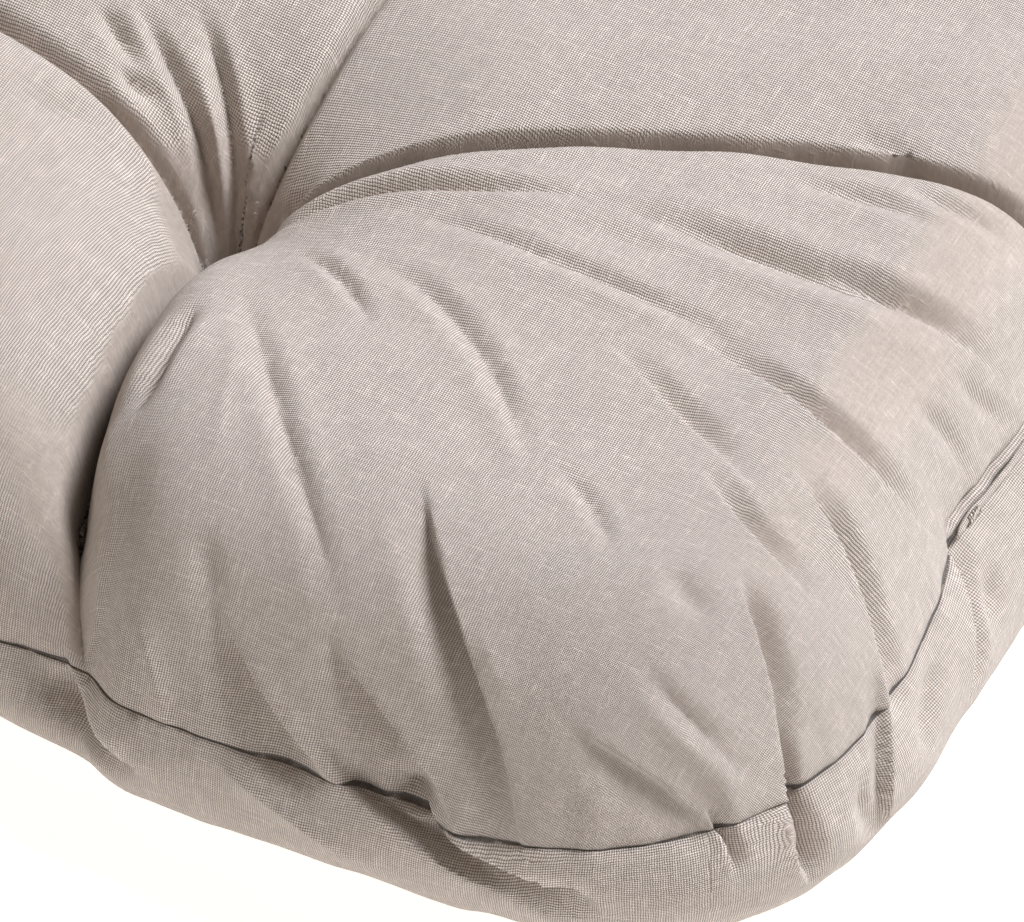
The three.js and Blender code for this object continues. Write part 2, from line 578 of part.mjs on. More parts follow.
const cushion = cushionGeometry();
const benchCushion = new THREE.Group();
benchCushion.add(part('cushion', cushion, canvas('#cbc0b8')));
benchCushion.add(part('closing_lip', lipGeometry(wasm, cushion), canvas('#c3b7ae')));

export default benchCushion;
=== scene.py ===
import logging
import math
from dataclasses import dataclass, field
from enum import Enum

import bpy
import numpy as np
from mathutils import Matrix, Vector


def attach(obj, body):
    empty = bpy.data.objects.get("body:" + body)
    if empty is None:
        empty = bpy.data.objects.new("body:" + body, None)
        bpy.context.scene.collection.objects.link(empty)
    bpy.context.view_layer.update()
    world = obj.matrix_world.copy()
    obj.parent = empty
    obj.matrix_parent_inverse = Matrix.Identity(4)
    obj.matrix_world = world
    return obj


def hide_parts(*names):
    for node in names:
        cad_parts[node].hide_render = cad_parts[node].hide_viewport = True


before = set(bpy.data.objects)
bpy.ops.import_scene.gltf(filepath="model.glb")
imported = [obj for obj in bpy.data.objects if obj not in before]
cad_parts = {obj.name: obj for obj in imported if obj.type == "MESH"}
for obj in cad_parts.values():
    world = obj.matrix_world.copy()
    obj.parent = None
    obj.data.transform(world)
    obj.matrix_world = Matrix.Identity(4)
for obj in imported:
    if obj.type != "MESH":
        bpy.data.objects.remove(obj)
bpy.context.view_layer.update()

# The shapes are worked out in millimetres, as the part's source is, and made in metres.
MM = 0.001
LOG = logging.getLogger("bench_cushion")

Pair = tuple[float, float]
Array = np.ndarray
Socket = bpy.types.NodeSocket

# Lengths below this, in mm, are taken as this where something is divided by them.
TINY = 1e-6


def puff(t: Array) -> Array:
    """Rise of a filled edge, like a quarter circle: 0 at its seam, 1 and level a full width away."""
    rest = 1 - np.clip(t, 0, 1)
    return np.sqrt(1 - rest * rest)


def bell(t: Array) -> Array:
    """A bell curve, 1 at 0 and under 0.02 at 2."""
    return np.exp(-t * t)


def smooth(t: Array) -> Array:
    """A smooth step from 0 at 0 to 1 at 1."""
    t = np.clip(t, 0, 1)
    return t * t * (3 - 2 * t)


def uneven(i: float, j: float = 0) -> float:
    """An unevenness from -1 to 1 that is the same each time for the same counters."""
    return math.sin(12.9 * i + 7.7 * j + 0.6)


class Run:
    """The run of a valley or a fold in plan, as a curve cut into short straight pieces."""

    def __init__(self, controls: list[Pair], pieces: int) -> None:
        """Cuts the curve.

        Args:
            controls: The start, two points that bow the curve, and the end, in mm.
            pieces: How many straight pieces to cut it into.
        """
        t = np.linspace(0, 1, pieces + 1)[:, None]
        a, b, c, d = np.asarray(controls, dtype=float)
        rest = 1 - t
        self.points = rest**3 * a + 3 * rest**2 * t * b + 3 * rest * t**2 * c + t**3 * d

    def near(self, x: Array, y: Array, margin: float) -> Array:
        """Which points lie close to the run.

        Args:
            x: Places along the bench, in mm.
            y: Places across the bench, in mm.
            margin: How far outside the box around the run still counts, in mm.

        Returns:
            True for each point that does.
        """
        low = self.points.min(axis=0) - margin
        high = self.points.max(axis=0) + margin
        return (x > low[0]) & (x < high[0]) & (y > low[1]) & (y < high[1])

    def beside(self, x: Array, y: Array) -> tuple[Array, Array, Array, Array]:
        """Where points lie beside the run.

        Args:
            x: Places along the bench, in mm.
            y: Places across the bench, in mm.

        Returns:
            Their distance in mm, their side (1 on the left of the run, -1 on its right), how far
            along the run they are, from 0 to 1, and the directions to the run's left there.
        """
        distance = np.full(x.shape, np.inf)
        side = np.ones(x.shape)
        done = np.zeros(x.shape)
        left = np.zeros((*x.shape, 2))
        pieces = len(self.points) - 1
        for i in range(pieces):
            start = self.points[i]
            step = self.points[i + 1] - start
            part = np.clip(((x - start[0]) * step[0] + (y - start[1]) * step[1]) / (step @ step), 0, 1)
            px = x - start[0] - part * step[0]
            py = y - start[1] - part * step[1]
            away = np.hypot(px, py)
            closer = away < distance
            distance = np.where(closer, away, distance)
            side = np.where(closer, np.where(step[0] * py - step[1] * px < 0, -1.0, 1.0), side)
            done = np.where(closer, (i + part) / pieces, done)
            left[closer] = np.array([-step[1], step[0]]) / math.hypot(*step)
        return distance, side, done, left


@dataclass(frozen=True)
class Valley:
    """A valley between two lobes, from a tuft to an offset from it in mm.

    Its tuft stands in a column, from -1 at the left to 1, and a row, 0 at the front and 1 at the
    back. bow holds two offsets that bow it, mid and end are its depths past the tuft's own hollow
    and at its far end, left and right its half-widths. nip and nip_wide are the depth and
    half-width of the narrow gap along its bottom, where the lobes press together, and fade is how
    much of that gap's depth is gone at the far end.
    """

    column: int
    row: int
    bow: tuple[Pair, Pair]
    to: Pair
    mid: float
    end: float
    left: float
    right: float
    nip: float = 7
    nip_wide: float = 11
    fade: float = 0.6


class FoldKind(Enum):
    """What a fold in the canvas looks like across its run."""

    CREASE = "a narrow hollow between two soft shoulders"
    TROUGH = "a wide soft hollow"
    RIDGE = "a rounded roll"
    LAP_LEFT = "a roll on the left that laps over a hollow on the right"
    LAP_RIGHT = "a roll on the right that laps over a hollow on the left"


@dataclass(frozen=True)
class Fold:
    """One fold of the canvas: its kind, run, depth and half-width in mm.

    The run is in plan, as offsets from its tuft. Past the seam the plan goes on down the border,
    as if the border were turned up level. nip is how much deeper a narrow slot along its bottom is,
    and over is how far the roll of a lap hangs over its hollow.
    """

    kind: FoldKind
    start: Pair
    bow: tuple[Pair, Pair]
    to: Pair
    deep: float
    wide: float
    nip: float = 0
    over: float = 0


class Edge(Enum):
    """The four straight edges of the cushion, counted round from the photographed corner."""

    FRONT = 0
    RIGHT = 1
    BACK = 2
    LEFT = 3


@dataclass(frozen=True)
class SeamPull:
    """A place where the seams are drawn in, with sizes in mm.

    place is its x on the front and back edges, and its y on the right and left ones. The top seam
    comes in by above and dips by down, the bottom seam comes in by below, and before and after are
    how far that reaches along the seam to each side.
    """

    edge: Edge
    place: float
    above: float
    below: float
    down: float
    before: float
    after: float


CREASE, TROUGH, RIDGE = FoldKind.CREASE, FoldKind.TROUGH, FoldKind.RIDGE
LAP_LEFT, LAP_RIGHT = FoldKind.LAP_LEFT, FoldKind.LAP_RIGHT

# Each row gives column, row, bow, to, mid, end, left and right, and where they are not the usual
# ones also nip, nip_wide and fade.
VALLEYS = (
    Valley(1, 0, ((4, -46), (2, -88)), (30, -140), 27, 30, 28, 44, 14, 5, 0.1),
    Valley(1, 0, ((22, -2), (72, 56)), (205, 71), 4, 3, 30, 24, 15, 3.4, 0.4),
    Valley(1, 0, ((12, 18), (14, 80)), (4, 240), 8, 6, 52, 52, 8, 4),
    Valley(1, 0, ((-40, 4), (-190, 36)), (-395, 0), 8, 6, 48, 50, 8, 4),
    Valley(0, 0, ((3, -50), (6, -90)), (-16, -140), 26, 25, 40, 42),
    Valley(0, 0, ((-10, 60), (12, 160)), (0, 240), 19, 12, 60, 56),
    Valley(0, 0, ((-110, 40), (-300, 26)), (-395, 0), 19, 8, 50, 60),
    Valley(-1, 0, ((4, -50), (-8, -90)), (10, -140), 27, 25, 42, 40),
    Valley(-1, 0, ((-30, 30), (-90, 46)), (-205, 52), 23, 10, 40, 54),
    Valley(-1, 0, ((8, 70), (-6, 150)), (0, 240), 18, 11, 58, 58),
    Valley(1, 1, ((0, 50), (8, 90)), (-12, 140), 26, 24, 42, 40),
    Valley(1, 1, ((30, -26), (100, -38)), (205, -40), 22, 10, 38, 56),
    Valley(1, 1, ((-90, -34), (-290, -38)), (-395, 0), 18, 8, 58, 50),
    Valley(0, 1, ((-4, 50), (-2, 90)), (14, 140), 27, 26, 40, 44),
    Valley(0, 1, ((-100, -42), (-310, -30)), (-395, 0), 18, 7, 56, 52),
    Valley(-1, 1, ((2, 52), (8, 92)), (-8, 140), 27, 25, 40, 42),
    Valley(-1, 1, ((-34, -30), (-99, -42)), (-205, -34), 22, 9, 54, 40),
)

SEAM_PULLS = (
    SeamPull(Edge.FRONT, 420, above=9.5, below=2, down=6, before=38, after=7),
    SeamPull(Edge.FRONT, 384, above=0, below=8, down=0, before=44, after=26),
    SeamPull(Edge.FRONT, -14, above=10, below=6, down=6, before=16, after=28),
    SeamPull(Edge.FRONT, -386, above=9, below=6, down=6, before=26, after=14),
    SeamPull(Edge.BACK, 384, above=9, below=6, down=6, before=16, after=26),
    SeamPull(Edge.BACK, 12, above=10, below=6, down=6, before=26, after=15),
    SeamPull(Edge.BACK, -402, above=9, below=6, down=6, before=14, after=28),
    SeamPull(Edge.RIGHT, -123, above=3, below=0, down=1.5, before=8, after=20),
    SeamPull(Edge.RIGHT, -36, above=3, below=1, down=3, before=24, after=24),
    SeamPull(Edge.RIGHT, 82, above=4, below=2, down=3, before=22, after=22),
    SeamPull(Edge.LEFT, 70, above=4, below=2, down=3, before=22, after=22),
    SeamPull(Edge.LEFT, -88, above=3, below=1, down=3, before=24, after=24),
    SeamPull(Edge.FRONT, 532, above=3.5, below=5, down=0, before=46, after=50),
)

# Folds of the photographed corner, read off the photo to about a millimetre, as offsets from its
# tuft. Each row gives kind, start, bow, to, deep and wide.
CORNER_FOLDS = (
    # Down the back and left lobes into the tuft's hollow.
    Fold(CREASE, (-46, 23), ((-41, 21), (-35, 18)), (-30, 14), 3.4, 2),
    Fold(CREASE, (-35, 15), ((-32, 9), (-26, 11)), (-21, 12), 2.6, 1.8),
    Fold(CREASE, (-39, 28), ((-27, 22), (-13, 14)), (3, -3), 3.8, 1.7),
    Fold(CREASE, (-27, 36), ((-17, 28), (-5, 17)), (3, -3), 3.8, 1.7),
    Fold(RIDGE, (-16, 20), ((-11, 15), (-7, 11)), (-4, 6), 1.6, 2.4),
    Fold(TROUGH, (-53, -11), ((-45, -10), (-36, -7)), (-28, -4), 2, 5),
    Fold(CREASE, (20, 13), ((13, 5), (4, 6)), (17, -8), 2, 2),
    # Along the valley to the right end, and across its far end.
    Fold(CREASE, (12, -7), ((20, 2), (48, 10)), (96, 20), 4, 1.8, nip=0.6),
    Fold(RIDGE, (25, 3), ((50, 16), (75, 32)), (102, 40), 1.2, 3),
    Fold(CREASE, (120, 43), ((139, 45), (144, 49)), (165, 46), 2.4, 2),
    Fold(CREASE, (146, 54), ((158, 54), (170, 55)), (181, 58), 2, 1.8),
    Fold(TROUGH, (126, 62), ((135, 65), (143, 61)), (152, 64), 1.6, 3),
    # Over the front lobe towards the right end.
    Fold(CREASE, (84, 17), ((121, 22), (156, 16)), (191, 27), 4.2, 3),
    Fold(LAP_RIGHT, (137, 21), ((156, 20), (179, 22)), (196, 30), 4, 3),
    Fold(TROUGH, (79, 9), ((96, 10), (112, 13)), (129, 11), 1.6, 3.5),
    Fold(CREASE, (37, 0), ((75, -4), (112, -2)), (149, -8), 2, 1.8),
    Fold(LAP_RIGHT, (117, -9), ((141, -11), (185, -33)), (202, -7), 5, 2.6),
    Fold(LAP_RIGHT, (106, -19), ((124, -28), (142, -38)), (161, -46), 3.4, 2.4),
    Fold(TROUGH, (181, 18), ((189, 18), (195, 23)), (201, 29), 1.8, 2.2),
    Fold(TROUGH, (177, 3), ((187, 6), (190, 9)), (201, 9), 1.8, 2.2),
    # Down the front lobe to the corner.
    Fold(LAP_RIGHT, (161, -33), ((180, -42), (193, -42)), (207, -59), 6.2, 2.8),
    Fold(LAP_LEFT, (195, -48), ((204, -56), (219, -74)), (233, -66), 4, 2.8),
    Fold(LAP_RIGHT, (143, -45), ((156, -53), (169, -58)), (185, -58), 3.6, 2.4),
    Fold(TROUGH, (150, -73), ((155, -76), (161, -78)), (167, -80), 2, 3.4),
    Fold(LAP_RIGHT, (165, -66), ((172, -73), (182, -78)), (188, -86), 5.5, 2.8),
    Fold(LAP_RIGHT, (180, -75), ((189, -92), (193, -97)), (214, -101), 8.5, 2.6, over=2),
    Fold(LAP_RIGHT, (185, -83), ((191, -95), (206, -101)), (221, -100), 7, 4),
    Fold(LAP_LEFT, (143, -111), ((156, -112), (170, -106)), (183, -105), 2.6, 2.6),
    Fold(CREASE, (150, -94), ((162, -99), (176, -97)), (188, -93), 1.4, 1.8),
    Fold(RIDGE, (156, -101), ((168, -101), (181, -99)), (190, -92), 1.4, 3),
    Fold(LAP_RIGHT, (176, -105), ((182, -104), (187, -109)), (192, -112), 4, 2.2, over=1),
    Fold(CREASE, (112, -58), ((126, -63), (132, -69)), (142, -80), 1.3, 1.7),
    # From the tuft down the front of the front lobe.
    Fold(CREASE, (25, -18), ((41, -24), (49, -30)), (61, -42), 2.2, 1.6),
    Fold(CREASE, (39, -18), ((70, -19), (95, -41)), (112, -66), 2.4, 2.2),
    Fold(RIDGE, (92, -45), ((98, -52), (104, -59)), (109, -66), 1.2, 2.6),
    Fold(CREASE, (21, -35), ((43, -62), (64, -90)), (90, -114), 2.6, 2.2),
    Fold(LAP_LEFT, (83, -112), ((96, -120), (113, -123)), (127, -130), 5.5, 3, over=0.8),
    Fold(LAP_LEFT, (102, -124), ((126, -133), (151, -138)), (177, -133), 7.5, 4, over=2.4),
    Fold(RIDGE, (30, -52), ((36, -67), (42, -82)), (47, -98), 1.2, 2.6),
    Fold(LAP_LEFT, (89, -72), ((105, -100), (124, -114)), (148, -132), 6.5, 4, over=0.6),
    Fold(RIDGE, (116, -102), ((121, -106), (127, -111)), (133, -114), 1.2, 2.6),
    Fold(TROUGH, (47, -104), ((51, -109), (54, -114)), (59, -118), 1.4, 3),
    Fold(LAP_LEFT, (55, -114), ((67, -121), (81, -127)), (95, -130), 6, 3.4, over=0.8),
    Fold(LAP_RIGHT, (80, -125), ((101, -131), (122, -146)), (145, -143), 6, 3, over=1.5),
    Fold(RIDGE, (54, -130), ((73, -137), (92, -144)), (111, -153), 2, 3.4),
    Fold(RIDGE, (36, -118), ((44, -123), (48, -128)), (55, -132), 2.2, 3),
    Fold(CREASE, (104, -130), ((109, -129), (114, -127)), (119, -129), 4.5, 1.8, nip=0.5),
    # In and beside the valley to the front.
    Fold(CREASE, (18, -46), ((18, -60), (20, -73)), (20, -87), 4, 2.2, nip=0.8),
    Fold(RIDGE, (14, -78), ((16, -88), (19, -98)), (23, -107), 1.8, 3),
    Fold(RIDGE, (11, -99), ((16, -108), (18, -116)), (23, -126), 1.8, 2.4),
    Fold(LAP_LEFT, (18, -124), ((24, -139), (36, -141)), (50, -147), 8, 4, nip=0.8),
    # Down the border.
    Fold(LAP_RIGHT, (197, -5), ((206, -5), (218, -28)), (232, -27), 6, 3),
    Fold(TROUGH, (205, -68), ((212, -78), (221, -76)), (232, -72), 3.2, 3.5),
    Fold(TROUGH, (206, -28), ((210, -38), (214, -47)), (222, -53), 3.4, 3.2),
    Fold(TROUGH, (210, 2), ((215, -3), (220, -9)), (226, -10), 2.6, 3),
    Fold(TROUGH, (3, -127), ((9, -131), (14, -139)), (18, -147), 2.4, 4),
    Fold(TROUGH, (11, -129), ((18, -134), (26, -146)), (28, -156), 2.4, 4),
    Fold(TROUGH, (129, -132), ((143, -134), (156, -138)), (170, -135), 2, 4),
)


@dataclass
class CushionForm:
    """The shape of the filled cover as a surface over a box, with sizes in mm.

    A place is (u, v, w), each from -1 to 1. w is 1 on the top panel, -1 on the bottom panel, and
    between them u or v is 1 or -1 on the border.
    """

    # The top and bottom seams, seen from above.
    length: float = 1194
    depth: float = 500
    corner_radius: float = 80
    # The border's section is an arc of this radius, which leans in towards both seams.
    roll: float = 28
    lean_top: float = math.radians(30)
    lean_bottom: float = math.radians(60)
    lean_more_at_corner: float = math.radians(14)
    lean_more_at_end: float = math.radians(26)
    end_lean_far: float = 165
    end_lean_near: float = 115
    seam_height: float = 8
    # The top panel rises from its seam in a full, rounded edge.
    crown_rise: float = 53.5
    crown_width: float = 66
    crown_roundness: float = 3.1
    crown_fullness: float = 1.05
    # The bottom panel turns up to its seam, and the tufts draw it up a little. The top panel stops
    # short of it there by a gap, and the higher tuft_stop is, the more sharply it stops.
    turned_up: float = 34
    base_tuft_depth: float = 7
    base_tuft_spread: float = 52
    tuft_gap: float = 5
    tuft_stop: float = 8
    # Three tufts along by two across, each a wide hollow with a narrow pit in its middle.
    columns: tuple[float, ...] = (-395, 0, 395)
    rows: tuple[float, ...] = (-120, 120)
    tuft_depth: float = 53
    tuft_spread: float = 84
    tuft_nip: float = 14
    tuft_nip_wide: float = 5
    # What all valleys share: how they leave a tuft, and how narrow they are along the bottom.
    valley_pieces: int = 20
    valley_start: float = 50
    valley_settle: float = 24
    valley_bottom: float = 2
    valley_blend: float = 2.6
    valley_nip_start: float = 20
    valley_nip_far: float = 11
    # How far into the panels a drawn-in seam shows, and how far the long and short edges bow in.
    pull_reach: float = 58
    drawn_in_length: float = 5
    drawn_in_depth: float = 2
    # The filling lies a little unevenly.
    lump_high: float = 1.8
    lump_long: float = 92
    lump_across: float = 55
    lump_slant: float = 0.4
    half_x: float = field(init=False)
    half_y: float = field(init=False)
    arc_x: float = field(init=False)
    arc_y: float = field(init=False)
    quarter: float = field(init=False)
    perimeter: float = field(init=False)
    border_centre: float = field(init=False)
    border_width: float = field(init=False)
    crown_height: float = field(init=False)
    tufts: list[Pair] = field(init=False)
    valleys: list[tuple[Valley, Run, float, bool]] = field(init=False)
    pulls: list[tuple[float, SeamPull]] = field(init=False)

    def __post_init__(self) -> None:
        """Works out the sizes that follow from the others, and the valleys' runs."""
        self.half_x = self.length / 2
        self.half_y = self.depth / 2
        self.arc_x = self.half_x - self.corner_radius
        self.arc_y = self.half_y - self.corner_radius
        self.quarter = math.pi / 2 * self.corner_radius
        self.perimeter = 4 * (self.arc_x + self.arc_y + self.quarter)
        self.border_centre = self.seam_height + self.roll * math.sin(self.lean_bottom)
        self.crown_height = self.border_centre + self.roll * math.sin(self.lean_top) + self.crown_rise
        self.border_width = self.roll * (self.lean_top + self.lean_bottom)
        self.tufts = [(x, y) for x in self.columns for y in self.rows]
        self.valleys = []
        for valley in VALLEYS:
            x, y = self.columns[valley.column + 1], self.rows[valley.row]
            controls = [(x, y)] + [(x + dx, y + dy) for dx, dy in (*valley.bow, valley.to)]
            run = Run(controls, self.valley_pieces)
            end = run.points[-1]
            joins = any(math.dist(end, tuft) < 1 for tuft in self.tufts)
            self.valleys.append((valley, run, math.dist(run.points[0], end), joins))
        self.pulls = [(self.seam_place(pull.edge, pull.place), pull) for pull in SEAM_PULLS]

    def seam_place(self, edge: Edge, place: float) -> float:
        """How far a place lies along the seam from the start of the photographed corner's arc.

        Args:
            edge: The edge that it is on.
            place: Its x on the front and back edges, and its y on the right and left ones, in mm.

        Returns:
            The distance along the seam, in mm, anticlockwise.
        """
        long, short = 2 * self.arc_x, 2 * self.arc_y
        return {
            Edge.FRONT: place - self.arc_x,
            Edge.RIGHT: self.quarter + self.arc_y + place,
            Edge.BACK: 2 * self.quarter + short + self.arc_x - place,
            Edge.LEFT: 3 * self.quarter + short + long + self.arc_y - place,
        }[edge]

    def outside(self, place: float, out: float) -> Pair:
        """The place in plan that lies beside a place on the seam.

        Args:
            place: How far along the seam it is, in mm.
            out: How far out from the seam it is, in mm.

        Returns:
            Its x and y, in mm.
        """
        rest = place % self.perimeter
        sides = (2 * self.arc_y, 2 * self.arc_x) * 2
        x, y, turn = self.arc_x, -self.arc_y, -math.pi / 2
        for side in sides:
            bend = min(rest, self.quarter) / self.corner_radius
            if rest <= self.quarter:
                break
            rest -= self.quarter
            turn += bend
            bend = 0
            step = min(rest, side)
            x, y = x - math.sin(turn) * step, y + math.cos(turn) * step
            if rest <= side:
                break
            rest -= side
        far = self.corner_radius + out
        return x + far * math.cos(turn + bend), y + far * math.sin(turn + bend)

    def along(self, a: Array, b: Array | float) -> Array:
        """The signed distance from b to a along the closed seam, in mm."""
        gap = np.mod(a - b, self.perimeter)
        return np.where(gap > self.perimeter / 2, gap - self.perimeter, gap)

    def panel(self, u: Array, v: Array) -> tuple[Array, Array]:
        """Lays a square out on the round-cornered panel.

        Args:
            u: Places along the square, from -1 to 1.
            v: Places across the square, from -1 to 1.

        Returns:
            Their x and y on the panel, in mm.
        """
        x, y = u * self.half_x, v * self.half_y
        p = (np.abs(x) - self.arc_x) / self.corner_radius
        q = (np.abs(y) - self.arc_y) / self.corner_radius
        corner = (p > 0) & (q > 0)
        big = np.where(corner, np.maximum(p, q), 1.0)
        turn = np.pi / 4 * np.where(corner, np.minimum(p, q), 0.0) / big
        long, short = big * np.cos(turn), big * np.sin(turn)
        a = np.where(p >= q, long, short) * self.corner_radius + self.arc_x
        b = np.where(p >= q, short, long) * self.corner_radius + self.arc_y
        return np.where(corner, np.sign(x) * a, x), np.where(corner, np.sign(y) * b, y)

    def seam_near(self, x: Array, y: Array) -> tuple[Array, Array, Array, Array]:
        """The nearest place of the seam to points in plan.

        Args:
            x: Places along the bench, in mm.
            y: Places across the bench, in mm.

        Returns:
            The distance along the seam, how far in from it, and its outward normal's x and y.
        """
        qx, qy = np.abs(x) - self.arc_x, np.abs(y) - self.arc_y
        sx, sy = np.where(x < 0, -1.0, 1.0), np.where(y < 0, -1.0, 1.0)
        corner = (qx > 0) & (qy > 0)
        far = np.where(corner, np.hypot(qx, qy), 1.0)
        turned = np.where(sx * sy < 0, np.arctan2(qx, qy), np.arctan2(qy, qx))
        # The four arcs start here, anticlockwise from the photographed corner's.
        back_right = self.seam_place(Edge.RIGHT, self.arc_y)
        back_left = self.seam_place(Edge.BACK, -self.arc_x)
        front_left = self.seam_place(Edge.LEFT, -self.arc_y)
        at_back = np.where(sx > 0, back_right, back_left)
        first = np.where(sy < 0, np.where(sx > 0, 0.0, front_left), at_back)
        ends = qx > qy
        at_end = np.where(sx > 0, self.seam_place(Edge.RIGHT, 0) + y, self.seam_place(Edge.LEFT, 0) - y)
        at_side = np.where(sy < 0, self.seam_place(Edge.FRONT, 0) + x, self.seam_place(Edge.BACK, 0) - x)
        at = np.where(corner, first + self.corner_radius * turned, np.where(ends, at_end, at_side))
        inside = self.corner_radius - np.where(corner, far, np.where(ends, qx, qy))
        nx = np.where(corner, sx * qx / far, np.where(ends, sx, 0.0))
        ny = np.where(corner, sy * qy / far, np.where(ends, 0.0, sy))
        return at, inside, nx, ny

    def drawn(
        self, at: Array, nx: Array, ny: Array, x: Array, y: Array
    ) -> tuple[Array, Array, Array, Array]:
        """How far the seams are drawn in at places along them.

        Args:
            at: Distances along the seam, in mm.
            nx: The outward normal's x.
            ny: The outward normal's y.
            x: Places along the bench, in mm.
            y: Places across the bench, in mm.

        Returns:
            How far the top and the bottom seam are drawn in, how far the top one dips, all in mm,
            and how far the border leans at the top seam, in radians.
        """
        middle_x = np.cos(np.pi / 2 * np.clip(x / self.half_x, -1, 1))
        middle_y = np.cos(np.pi / 2 * np.clip(y / self.half_y, -1, 1))
        above = self.drawn_in_length * middle_x * np.abs(ny)
        above += self.drawn_in_depth * middle_y * np.abs(nx)
        below, down = np.zeros_like(above), np.zeros_like(above)
        for place, pull in self.pulls:
            gap = self.along(at, place)
            share = bell(gap / np.where(gap < 0, pull.before, pull.after))
            above = above + pull.above * share
            below = below + pull.below * share
            down = down + pull.down * share
        middle = smooth((self.end_lean_far - np.abs(y)) / (self.end_lean_far - self.end_lean_near))
        more = self.lean_more_at_corner + (self.lean_more_at_end - self.lean_more_at_corner) * middle
        return above, below, down, self.lean_top + more * nx**2

    def dip(self, distance: Array, wide: Array) -> Array:
        """A valley between two filled edges, 1 at its narrow bottom and 0 a full width away."""
        bottom = np.hypot(wide, self.valley_bottom) - self.valley_bottom
        return 1 - puff((np.hypot(distance, self.valley_bottom) - self.valley_bottom) / bottom)

    def hollow(self, x: Array, y: Array) -> Array:
        """How deep the tufts and valleys draw the top panel in.

        Args:
            x: Places along the bench, in mm.
            y: Places across the bench, in mm.

        Returns:
            The depth at each place, in mm.
        """
        deep, slots = np.zeros_like(x), np.zeros_like(x)
        for valley, run, long, joins in self.valleys:
            near = run.near(x, y, max(valley.left, valley.right))
            distance, side, done, _ = run.beside(x[near], y[near])
            wide = np.where(side > 0, valley.left, valley.right)
            share = 2 * np.minimum(done, 1 - done) if joins else done
            away = (long / 2 if joins else long) * share
            level = valley.mid + (valley.end - valley.mid) * share
            level = level + (self.valley_start - valley.mid) * np.exp(-away / self.valley_settle)
            deep[near] += (level * self.dip(np.minimum(distance, wide), wide)) ** self.valley_blend
            far = self.valley_nip_far if joins else valley.nip_wide
            nip_wide = valley.nip_wide + (far - valley.nip_wide) * done**2
            slot = valley.nip * np.clip(1 - distance / nip_wide, 0, 1) ** 2
            slot = slot * smooth(away / self.valley_nip_start) * (1 - valley.fade * share)
            slots[near] = np.maximum(slots[near], slot)
        for tuft_x, tuft_y in self.tufts:
            away = np.hypot(x - tuft_x, y - tuft_y)
            deep += (self.tuft_depth * self.dip(away, self.tuft_spread)) ** self.valley_blend
            slots = np.maximum(slots, self.tuft_nip * np.exp(-away / self.tuft_nip_wide))
        return deep ** (1 / self.valley_blend) + slots

    def top_height(self, x: Array, y: Array, inside: Array, seam: Array) -> Array:
        """Height of the top panel.

        Args:
            x: Places along the bench, in mm.
            y: Places across the bench, in mm.
            inside: How far in from the seam they lie, in mm.
            seam: How high the seam next to them lies, in mm.

        Returns:
            The height at each place, in mm.
        """
        rest = 1 - np.clip(inside / self.crown_width, 0, 1)
        edge = (1 - rest**self.crown_roundness) ** (1 / self.crown_fullness)
        lumps = np.sin(x / self.lump_long) * np.sin((y + self.lump_slant * x) / self.lump_across)
        full = self.crown_height - seam + self.lump_high * lumps
        # The filling is pressed flat under a tuft, but it still keeps the two panels apart.
        room = full + seam - self.base_height(x, y) - self.tuft_gap
        deep = self.hollow(x, y)
        deep = deep / (1 + (deep / room) ** self.tuft_stop) ** (1 / self.tuft_stop)
        return seam + edge * (full - deep)

    def base_height(self, x: Array, y: Array) -> Array:
        """How high the tufts draw the bottom panel up.

        Args:
            x: Places along the bench, in mm.
            y: Places across the bench, in mm.

        Returns:
            The height at each place, in mm.
        """
        height = np.zeros_like(x)
        for tuft_x, tuft_y in self.tufts:
            away = np.hypot(x - tuft_x, y - tuft_y)
            rise = self.base_tuft_depth * (1 - puff(away / self.base_tuft_spread))
            height = np.maximum(height, rise)
        return height

    def bottom_height(self, x: Array, y: Array, inside: Array, seam: Array) -> Array:
        """Height of the bottom panel: flat, turned up to its seam and drawn up at the tufts."""
        edge = seam * (1 - np.clip(inside / self.turned_up, 0, 1)) ** 2
        return np.maximum(edge, self.base_height(x, y))

    def points(self, places: Array) -> Array:
        """The points of the smooth form, in mm.

        Args:
            places: Places on the box, one row (u, v, w) each.

        Returns:
            One row (x, y, z) for each place.
        """
        u, v, w = places.T
        x, y = self.panel(u, v)
        at, inside, nx, ny = self.seam_near(x, y)
        above, below, down, lean_top = self.drawn(at, nx, ny, x, y)
        share = (1 - np.clip(w, -1, 1)) / 2
        lean = lean_top - share * (self.lean_top + self.lean_bottom)
        out = self.roll * (np.cos(lean) - math.cos(self.lean_top))
        move = above * (1 - share) + below * share - out
        seam = self.border_centre + self.roll * np.sin(lean) - down * (1 - share)
        hold = np.clip(1 - inside / self.pull_reach, 0, 1) ** 2
        top, bottom = w >= 1, w <= -1
        inner = np.maximum(inside, 0)
        z = seam.copy()
        z[top] = self.top_height(x[top], y[top], inner[top], seam[top])
        z[bottom] = self.bottom_height(x[bottom], y[bottom], inner[bottom], seam[bottom])
        move = np.where(top | bottom, move * hold, move)
        return np.stack([x - nx * move, y - ny * move, z], axis=1)

    def plan(self, places: Array) -> tuple[Array, Array]:
        """Places in plan, with the border turned up level outside the top seam.

        Args:
            places: Places on the box, one row (u, v, w) each.

        Returns:
            Their x and y in that plan, in mm.
        """
        u, v, w = places.T
        x, y = self.panel(u, v)
        at, inside, nx, ny = self.seam_near(x, y)
        out = np.where(np.abs(w) < 1, (1 - w) / 2 * self.border_width, 0)
        return x + nx * out, y + ny * out


